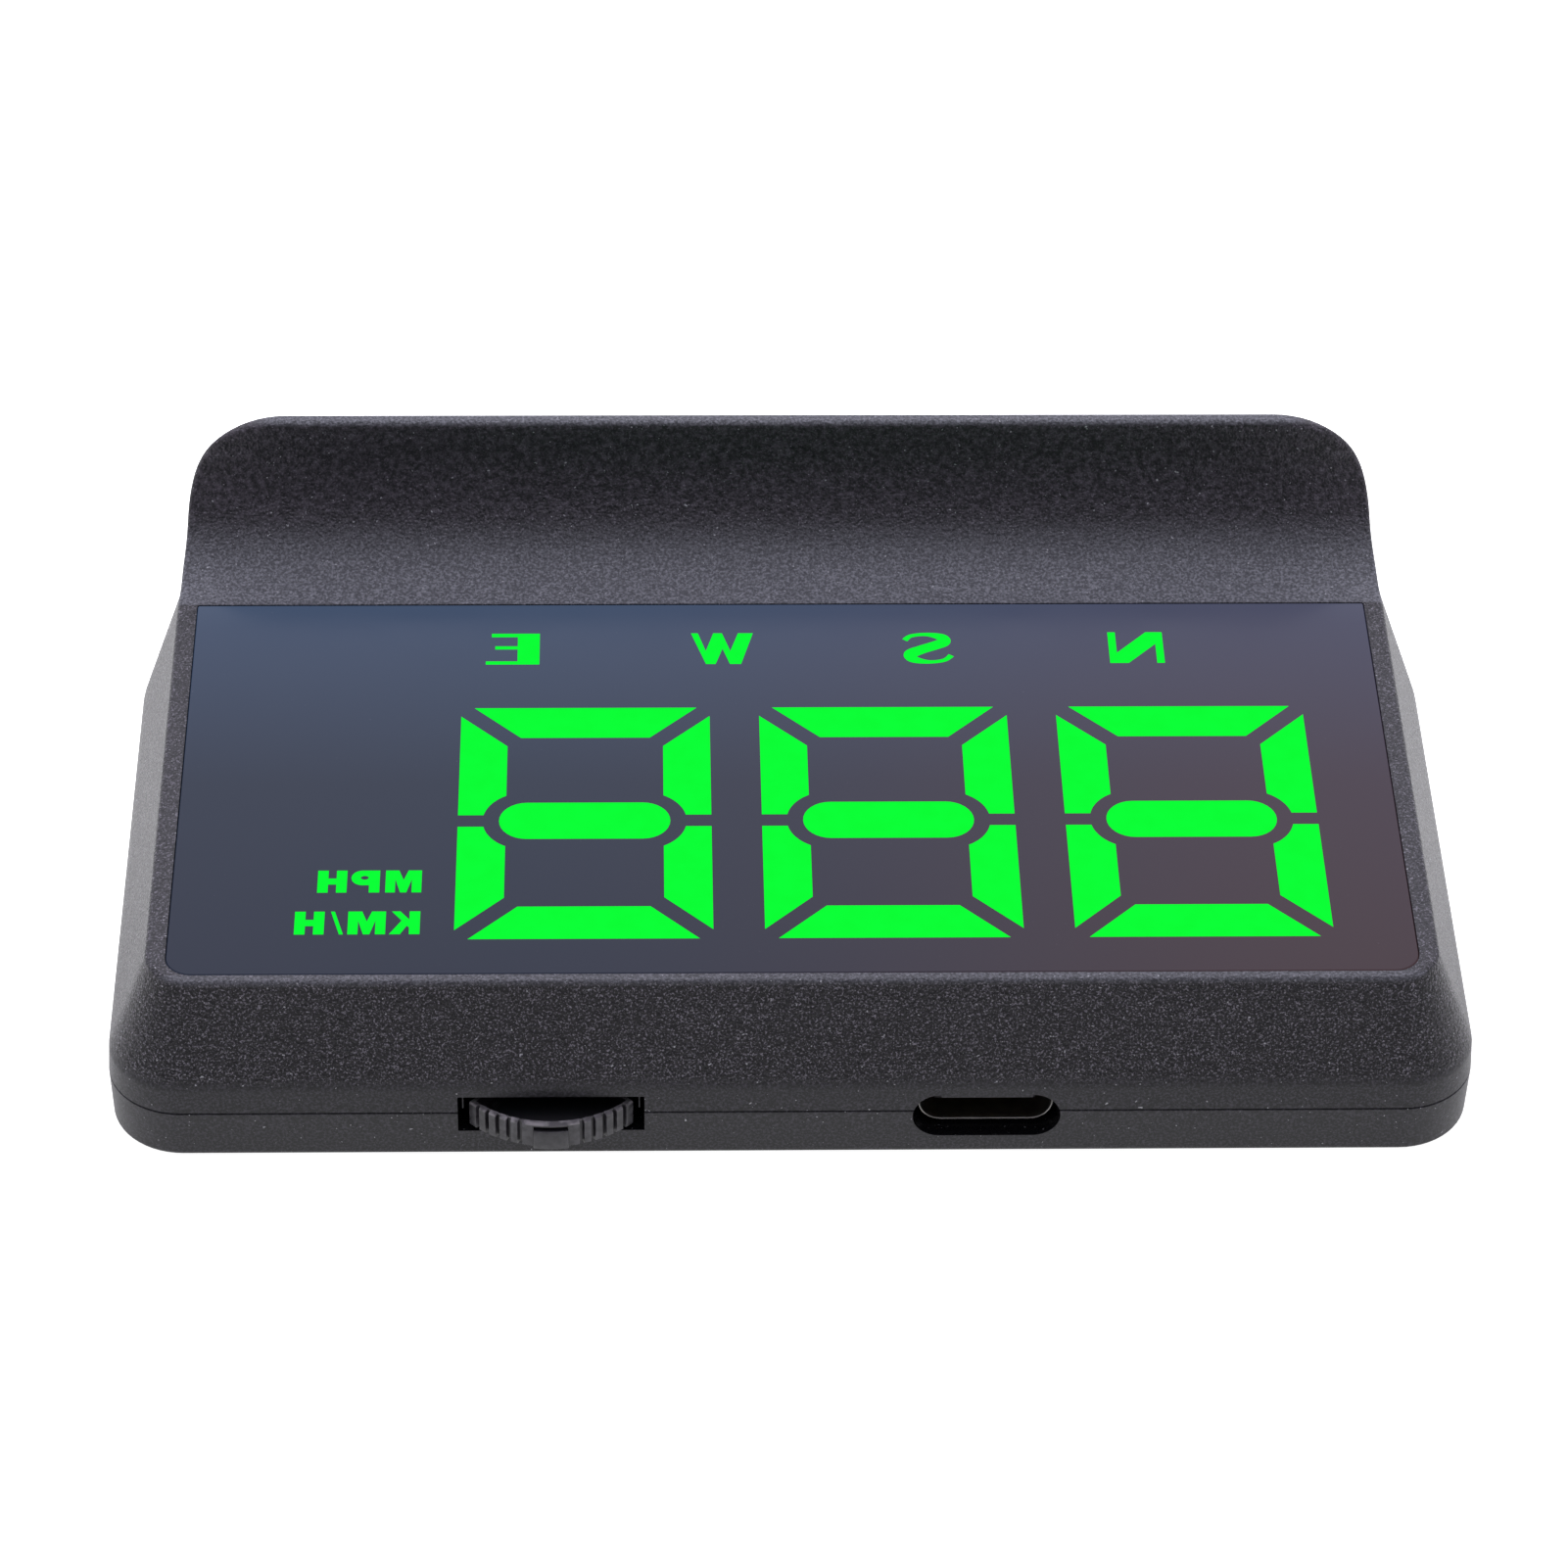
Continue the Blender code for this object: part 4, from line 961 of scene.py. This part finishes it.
# ---- materials ----
class Nodes:
    """A material's or the sky's node tree, with short ways to add what is needed here."""

    def __init__(self, owner, shader, place):
        owner.use_nodes = True
        self.owner = owner
        self.tree = owner.node_tree
        self.shader = self.tree.nodes[shader]
        self.place = self.node("TexCoord", place, {})

    def feed(self, socket, value):
        """Link another node's output to a socket, or set the socket's value."""
        if isinstance(value, bpy.types.NodeSocket):
            self.tree.links.new(value, socket)
        else:
            socket.default_value = value

    def set(self, socket, value):
        self.feed(self.shader.inputs[socket], value)

    def node(self, kind, output, inputs, **settings):
        """One output of a new node, whose inputs are linked or set."""
        node = self.tree.nodes.new("ShaderNode" + kind)
        for name, value in settings.items():
            setattr(node, name, value)
        for socket, value in inputs.items():
            self.feed(node.inputs[socket], value)
        return node.outputs[output]

    def noise(self, size, detail=2.0, roughness=0.5):
        """Noise whose features are about this many millimetres across, 0 to 1."""
        return self.node("TexNoise", "Fac", {"Vector": self.place, "Scale": 1 / (size * MM),
                                             "Detail": detail, "Roughness": roughness})

    def cells(self, size, feature="F1"):
        return self.node("TexVoronoi", "Distance", {"Vector": self.place, "Scale": 1 / (size * MM)},
                         feature=feature)

    def ranged(self, value, low, high, to_low=0.0, to_high=1.0, smooth=False):
        """A value between low and high, turned into one between two others."""
        return self.node("MapRange", "Result", {"Value": value, "From Min": low, "From Max": high,
                                                "To Min": to_low, "To Max": to_high},
                         interpolation_type="SMOOTHSTEP" if smooth else "LINEAR")

    def along(self, letter, low, high, *to, smooth=False):
        """The same for the place on one axis, in millimetres."""
        place = self.node("SeparateXYZ", letter, {"Vector": self.place})
        return self.ranged(place, low * MM, high * MM, *to, smooth=smooth)

    def maths(self, operation, first, second):
        return self.node("Math", "Value", {0: first, 1: second}, operation=operation)

    def ramp(self, value, stops):
        """Colours along a value."""
        node = self.tree.nodes.new("ShaderNodeValToRGB")
        elements = node.color_ramp.elements
        while len(elements) < len(stops):
            elements.new(0.5)
        for element, (position, colour) in zip(elements, stops):
            element.position = position
            element.color = (*colour, 1.0)
        self.feed(node.inputs["Fac"], value)
        return node.outputs["Color"]

    def tones(self, value, dark, light, start=0.3, full=0.7):
        return self.ramp(value, [(start, dark), (full, light)])

    def mix(self, share, first, second):
        """A mix of two colours, each an output or (r, g, b)."""
        first, second = ((*tone, 1.0) if isinstance(tone, tuple) else tone for tone in (first, second))
        return self.node("Mix", "Result", {"Factor": share, "A": first, "B": second}, data_type="RGBA")

    def colour(self, output):
        self.set("Base Color", output)

    def roughness(self, value, low, high, least, most):
        """Roughness from least to most as a value goes from low to high."""
        self.set("Roughness", self.ranged(value, low, high, least, most))

    def bump(self, height, depth, strength=1.0):
        """Relief from a 0 to 1 height, at most this many millimetres deep."""
        self.set("Normal", self.node("Bump", "Normal", {"Strength": strength, "Distance": depth * MM,
                                                        "Height": height}))


def new_finish(name, colour, roughness, metallic=0.0):
    nodes = Nodes(bpy.data.materials.new(name), "Principled BSDF", "Object")
    nodes.set("Base Color", (*colour, 1.0))
    nodes.set("Roughness", roughness)
    nodes.set("Metallic", metallic)
    return nodes


def speckled(nodes, dark, light, size, start, full):
    """A dark ground with fine lighter grains, where a noise rises from start to full."""
    return nodes.tones(nodes.noise(size, 3.0, 0.7), dark, light, start, full)


@cache
def grained_plastic():
    """Spark-eroded grain on slope, bezel and hood, fading to satin on the lower band, with painted
    highlight on the cove's foot, the bezel and the hood's lip.
    """
    nodes = new_finish("grained_plastic", (0.02, 0.0185, 0.025), 0.5)
    grain_here = nodes.along("Z", BAND_TOP - 0.1, BAND_TOP + 0.9, smooth=True)
    fine = nodes.noise(0.15, 2.0, 0.6)
    relief = nodes.maths("ADD", fine, nodes.cells(0.22, "SMOOTH_F1"))
    nodes.bump(nodes.maths("MULTIPLY", relief, nodes.ranged(grain_here, 0, 1, 0.15, 1)), 0.08)
    slope = speckled(nodes, (0.0005, 0.0005, 0.001), (0.215, 0.200, 0.235), 0.14, 0.53, 0.69)
    hood = speckled(nodes, (0.014, 0.012, 0.016), (0.100, 0.086, 0.108), 0.42, 0.43, 0.72)
    # A paler grain: painted highlight where the cove's foot, the bezel and the lip face the light above.
    pale = speckled(nodes, (0.043, 0.044, 0.052), (0.158, 0.160, 0.182), 0.2, 0.44, 0.64)
    grained = nodes.mix(nodes.along("Z", BEZEL, BEZEL + 4, 0.1, 0.7, smooth=True), slope, hood)
    # The painted highlight is mixed into the grain here.
    grained = light_specked(nodes, nodes.mix(painted_highlight_here(nodes), grained, pale))
    nodes.colour(nodes.mix(grain_here, satin_ground(nodes), grained))
    nodes.roughness(fine, 0.2, 0.8, 0.36, 0.58)
    nodes.set("Specular IOR Level", 0.34)
    return nodes.owner


def painted_highlight_here(nodes):
    """Where highlight is painted into the grain: the cove's foot, a little of the bezel, and the hood's
    lip.
    """
    on_bezel = nodes.along("Z", BEZEL - 0.4, BEZEL - 0.1)
    in_cove = nodes.along("Z", BEZEL + 0.1, BEZEL + 2.9, 1.0, 0.0, smooth=True)
    before_lens = nodes.along("Y", LENS_LOW.y - 0.1, LENS_LOW.y, 0.6, 0.1)
    behind_lens = nodes.along("Y", LENS_HIGH.y, LENS_HIGH.y + 0.2)
    before_back = nodes.along("Y", FRONT + 50.2, FRONT + 51.0, 1.0, 0.0)
    beside = nodes.maths("MULTIPLY", nodes.maths("MAXIMUM", before_lens, behind_lens), before_back)
    lit = nodes.maths("MULTIPLY", beside, nodes.maths("MULTIPLY", on_bezel, in_cove))
    return nodes.maths("MAXIMUM", lit, nodes.along("Z", TOP - 0.3, TOP - 0.05))


def light_specked(nodes, ground):
    """A few small light specks on a colour."""
    return nodes.mix(nodes.ranged(nodes.noise(0.24, 1.0), 0.745, 0.775), ground, (0.30, 0.30, 0.32))


def satin_ground(nodes):
    """The satin plastic's colour: even, with faint grains and a few light specks."""
    return light_specked(nodes, speckled(nodes, (0.003, 0.003, 0.004), (0.036, 0.033, 0.043), 0.19, 0.46, 0.66))


@cache
def satin_plastic():
    """The lower shell: the same plastic with a fine satin face."""
    nodes = new_finish("satin_plastic", (0.026, 0.024, 0.03), 0.5)
    fine = nodes.noise(0.12, 2.0, 0.6)
    nodes.bump(fine, 0.012)
    nodes.colour(satin_ground(nodes))
    nodes.roughness(fine, 0.2, 0.8, 0.42, 0.55)
    nodes.set("Specular IOR Level", 0.36)
    return nodes.owner


@cache
def painted_opening_shade():
    """Painted shade inside the openings: gloss black, with a few light specks."""
    nodes = new_finish("painted_opening_shade", (0.003, 0.003, 0.004), 0.25)
    dust = nodes.ranged(nodes.noise(0.22, 1.0), 0.72, 0.76)
    nodes.colour(nodes.mix(dust, (0.003, 0.003, 0.004), (0.12, 0.12, 0.12)))
    nodes.roughness(nodes.noise(0.5), 0.3, 0.7, 0.2, 0.35)
    nodes.set("Specular IOR Level", 0.2)
    return nodes.owner


@cache
def moulded_black(name, roughness):
    nodes = new_finish(name, (0.02, 0.02, 0.022), roughness)
    fine = nodes.noise(0.25, 3.0)
    nodes.bump(fine, 0.008)
    nodes.colour(nodes.tones(nodes.noise(1.1, 3.0), (0.016, 0.016, 0.018), (0.027, 0.027, 0.03)))
    nodes.roughness(fine, 0.2, 0.8, roughness - 0.06, roughness + 0.08)
    return nodes.owner


@cache
def dial_plastic():
    """Black dial with painted highlights on the edges of its ribs and on its top."""
    nodes = new_finish("dial_plastic", (0.022, 0.022, 0.025), 0.42)
    fine = nodes.noise(0.2, 3.0)
    nodes.bump(fine, 0.008)
    convexity = nodes.node("NewGeometry", "Pointiness", {})
    # Painted highlight along the convex rib edges, where they catch the light.
    edge = nodes.ranged(convexity, 0.52, 0.60)
    painted_edge_highlight = nodes.maths("MULTIPLY", edge, nodes.ranged(nodes.noise(0.5, 2.0), 0.35, 0.6))
    # Painted highlight on the top face and a thin band under it, where the rim catches light from above.
    top_band = nodes.along("Z", DIAL_HIGH.z - 0.16, DIAL_HIGH.z - 0.07)
    painted_rim_highlight = nodes.maths("MULTIPLY", top_band, nodes.ranged(nodes.noise(0.9, 2.0), 0.45, 0.6, 0.25, 1.0))
    body = nodes.mix(painted_edge_highlight, (0.009, 0.0085, 0.011), (0.05, 0.047, 0.054))
    nodes.colour(nodes.mix(painted_rim_highlight, body, (0.22, 0.205, 0.215)))
    nodes.roughness(fine, 0.2, 0.8, 0.36, 0.5)
    return nodes.owner


@cache
def smoked_lens():
    """Polished smoked panel with a painted reflection: a faint glow, cool to warm from corner to corner
    and brighter toward the back, over the hood's shade.
    """
    nodes = new_finish("smoked_lens", (0.008, 0.010, 0.016), 0.1)
    along = nodes.along("Y", LENS_LOW.y, LENS_HIGH.y)
    across = nodes.along("X", LENS_LOW.x, LENS_HIGH.x)
    # Painted reflection: the glow's colours, brighter near the back to paint out the hood's shade on the
    # lens.
    left = nodes.ramp(along, [(0.0, (0.020, 0.025, 0.043)), (0.5, (0.026, 0.036, 0.060)),
                              (0.94, (0.050, 0.079, 0.146)), (1.0, (0.062, 0.096, 0.170))])
    right = nodes.ramp(along, [(0.0, (0.063, 0.033, 0.033)), (0.5, (0.066, 0.042, 0.055)),
                               (0.94, (0.072, 0.072, 0.122)), (1.0, (0.082, 0.086, 0.142))])
    painted_reflection_glow = nodes.mix(nodes.ranged(across, 0.25, 1.0, 0.0, 1.0, True), left, right)
    nodes.set("Emission Color", painted_reflection_glow)
    nodes.set("Emission Strength", 0.75)
    dust = nodes.ranged(nodes.noise(0.3, 2.0), 0.74, 0.84, 0.0, 0.3)
    nodes.colour(nodes.mix(dust, (0.008, 0.010, 0.016), (0.10, 0.10, 0.12)))
    nodes.roughness(nodes.noise(6.0, 2.0), 0.3, 0.7, 0.13, 0.19)
    nodes.bump(nodes.noise(8.0, 1.0), 0.01, 0.4)
    nodes.set("Specular IOR Level", 0.08)
    return nodes.owner


@cache
def lit_green():
    """Lit diffuser seen through the mask: even, with the faintest mottling."""
    nodes = new_finish("lit_green", (0.0, 0.02, 0.0), 0.4)
    glow = nodes.tones(nodes.noise(1.5, 2.0), (0.004, 0.955, 0.036), (0.004, 0.985, 0.040))
    nodes.set("Emission Color", glow)
    nodes.set("Emission Strength", 1.0)
    nodes.roughness(nodes.noise(0.6), 0.3, 0.7, 0.35, 0.45)
    nodes.set("Specular IOR Level", 0.0)
    return nodes.owner


@cache
def rubber():
    nodes = new_finish("rubber", (0.018, 0.018, 0.018), 0.85)
    weave = nodes.cells(0.45, "F1")
    nodes.bump(weave, 0.06)
    nodes.colour(nodes.tones(nodes.noise(2.0, 4.0), (0.014, 0.014, 0.014), (0.026, 0.026, 0.027)))
    nodes.roughness(weave, 0.0, 0.7, 0.9, 0.75)
    return nodes.owner


@cache
def steel(name, colour, roughness):
    """Bright steel with fine drawn scratches."""
    nodes = new_finish(name, colour, roughness, 1.0)
    scratch = nodes.noise(0.12, 4.0, 0.7)
    tint = nodes.noise(1.2, 2.0)
    dull = tuple(channel * 0.82 for channel in colour)
    nodes.colour(nodes.tones(tint, dull, colour))
    nodes.roughness(scratch, 0.25, 0.75, roughness - 0.08, roughness + 0.12)
    nodes.bump(scratch, 0.004)
    return nodes.owner


@cache
def gilt():
    nodes = new_finish("gilt", (0.83, 0.6, 0.25), 0.28, 1.0)
    nodes.colour(nodes.tones(nodes.noise(0.6, 2.0), (0.74, 0.52, 0.2), (0.88, 0.66, 0.3)))
    nodes.roughness(nodes.noise(0.15, 3.0), 0.3, 0.7, 0.2, 0.38)
    return nodes.owner


@cache
def mottled(name, dark, light, grain, roughness, depth):
    """A plain moulded, fired or printed finish: two close tones and a little relief."""
    nodes = new_finish(name, dark, roughness)
    tone = nodes.noise(grain, 4.0, 0.6)
    nodes.colour(nodes.tones(tone, dark, light))
    nodes.roughness(nodes.noise(grain / 3, 2.0), 0.3, 0.7, roughness - 0.08, roughness + 0.08)
    nodes.bump(tone, depth)
    return nodes.owner


@cache
def circuit_board():
    """Green solder mask over copper tracks."""
    nodes = new_finish("circuit_board", (0.01, 0.12, 0.05), 0.35)
    tracks = nodes.node("TexBrick", "Fac", {"Vector": nodes.place, "Scale": 260.0, "Mortar Size": 0.06,
                                            "Brick Width": 1.6, "Row Height": 0.35})
    copper = nodes.ranged(tracks, 0.0, 1.0)
    nodes.colour(nodes.mix(copper, (0.008, 0.1, 0.04), (0.02, 0.2, 0.08)))
    nodes.roughness(nodes.noise(0.8, 2.0), 0.3, 0.7, 0.28, 0.42)
    nodes.bump(copper, 0.03)
    return nodes.owner


# Finishes by node: the material's name, its two tones, the grain's size, roughness and relief
MOTTLED_PARTS = {
    "lens_gasket": ("foam_tape", (0.02, 0.02, 0.02), (0.04, 0.04, 0.04), 0.3, 0.9, 0.05),
    "segment_mask": ("mask_film", (0.008, 0.008, 0.01), (0.013, 0.013, 0.015), 0.8, 0.65, 0.004),
    "light_block": ("white_plastic", (0.76, 0.76, 0.73), (0.83, 0.83, 0.81), 1.5, 0.5, 0.01),
    "gps_patch_antenna": ("ceramic", (0.55, 0.45, 0.33), (0.65, 0.55, 0.42), 0.5, 0.55, 0.02),
    "filter_capacitor": ("tantalum", (0.55, 0.3, 0.06), (0.65, 0.4, 0.1), 0.6, 0.42, 0.01),
}
CHIP_RESIN = ("chip_resin", (0.012, 0.012, 0.012), (0.022, 0.022, 0.022), 0.15, 0.5, 0.01)
LED_BODY = ("led_body", (0.78, 0.78, 0.6), (0.9, 0.9, 0.76), 0.4, 0.4, 0.005)
PART_STEEL = ("part_steel", (0.62, 0.62, 0.64), 0.3)
CHIPS = ("microcontroller", "led_driver", "voltage_regulator", "light_sensor")
BLACK_PARTS = ("buzzer", "dial_switch_base")
BRIGHT_PARTS = ("gps_module", "crystal", "backup_cell", "dial_pivot_pin", "centring_spring")


def finish_inside():
    """Materials for the CAD parts that keep their own shape."""
    finishes = {node: mottled(*settings) for node, settings in MOTTLED_PARTS.items()}
    finishes["main_pcb"] = circuit_board()
    finishes["dial_carriage"] = moulded_black("black_nylon", 0.48)
    diodes = [node for node in frame["nodes"] if node.startswith("led_") and node != "led_driver"]
    for parts, finish in ((CHIPS, mottled(*CHIP_RESIN)), (diodes, mottled(*LED_BODY)),
                          (BRIGHT_PARTS, steel(*PART_STEEL)),
                          (BLACK_PARTS, moulded_black("component_black", 0.4))):
        finishes.update({node: finish for node in parts})
    for node, finish in finishes.items():
        mesh_materials = frame["nodes"][node].data.materials
        mesh_materials.clear()
        mesh_materials.append(finish)


# ---- stage ----
FLOOR_HALF = 4000
FLOOR_GAP = 0.05                # keeps the floor just clear of the pad
SKY = ((0.0, 0.07), (0.2, 0.22), (0.35, 0.55), (0.6, 1.15), (0.85, 2.1), (0.95, 2.6))
SKY_TINT = (0.97, 0.955, 1.08)
SKY_BRIGHTEST = (0.0, 0.507, 0.862)      # the direction that the sky is brightest in


def studio():
    """A big pale floor under a soft sky that is brightest above and behind the object."""
    bm = bmesh.new()
    bmesh.ops.create_grid(bm, x_segments=8, y_segments=8, size=FLOOR_HALF)
    floor = to_object("floor", bm)
    nodes = new_finish("floor_white", (0.4, 0.4, 0.4), 0.8)
    nodes.set("Emission Color", (1.0, 1.0, 1.0, 1.0))
    nodes.set("Emission Strength", nodes.along("Y", FRONT - 10, FRONT + 40, 0.88, 1.75, smooth=True))
    nodes.set("Specular IOR Level", 0.1)
    floor.data.materials.append(nodes.owner)
    floor.location.z = -FLOOR_GAP * MM
    world = bpy.data.worlds.new("soft sky")
    bpy.context.scene.world = world
    sky = Nodes(world, "Background", "Generated")
    toward = sky.node("VectorMath", "Value", {0: sky.place, 1: SKY_BRIGHTEST}, operation="DOT_PRODUCT")
    sky.set("Color", sky.ramp(toward, [(position, tuple(level * tint for tint in SKY_TINT))
                                       for position, level in SKY]))


ELEVATION = radians(40)
YAW = radians(1.8814)
ROLL = radians(1.0299)
DISTANCE = 0.406119
TARGET = (0.00023, 0.011376, 0.0004)
FOCAL_LENGTH = 131.512


def camera():
    """The viewing angle: 40 degrees down on the display, turned a little to the left."""
    data = bpy.data.cameras.new("camera")
    data.sensor_width = 36.0
    data.lens = FOCAL_LENGTH
    data.clip_start = 0.01
    eye = bpy.data.objects.new("camera", data)
    bpy.context.scene.collection.objects.link(eye)
    eye.matrix_world = (Matrix.Translation(TARGET) @ Matrix.Rotation(-YAW, 4, "Z")
                        @ Matrix.Rotation(pi / 2 - ELEVATION, 4, "X") @ Matrix.Rotation(ROLL, 4, "Z")
                        @ Matrix.Translation((0, 0, DISTANCE)))
    bpy.context.scene.camera = eye


camera()
studio()
upper_housing()
bottom_cover()
non_slip_pad()
screws()
display_lens()
lit_marks()
dial_wheel()
snap_dome()
usb_shell()
usb_tongue()
finish_inside()
bpy.context.scene.view_settings.view_transform = "Standard"
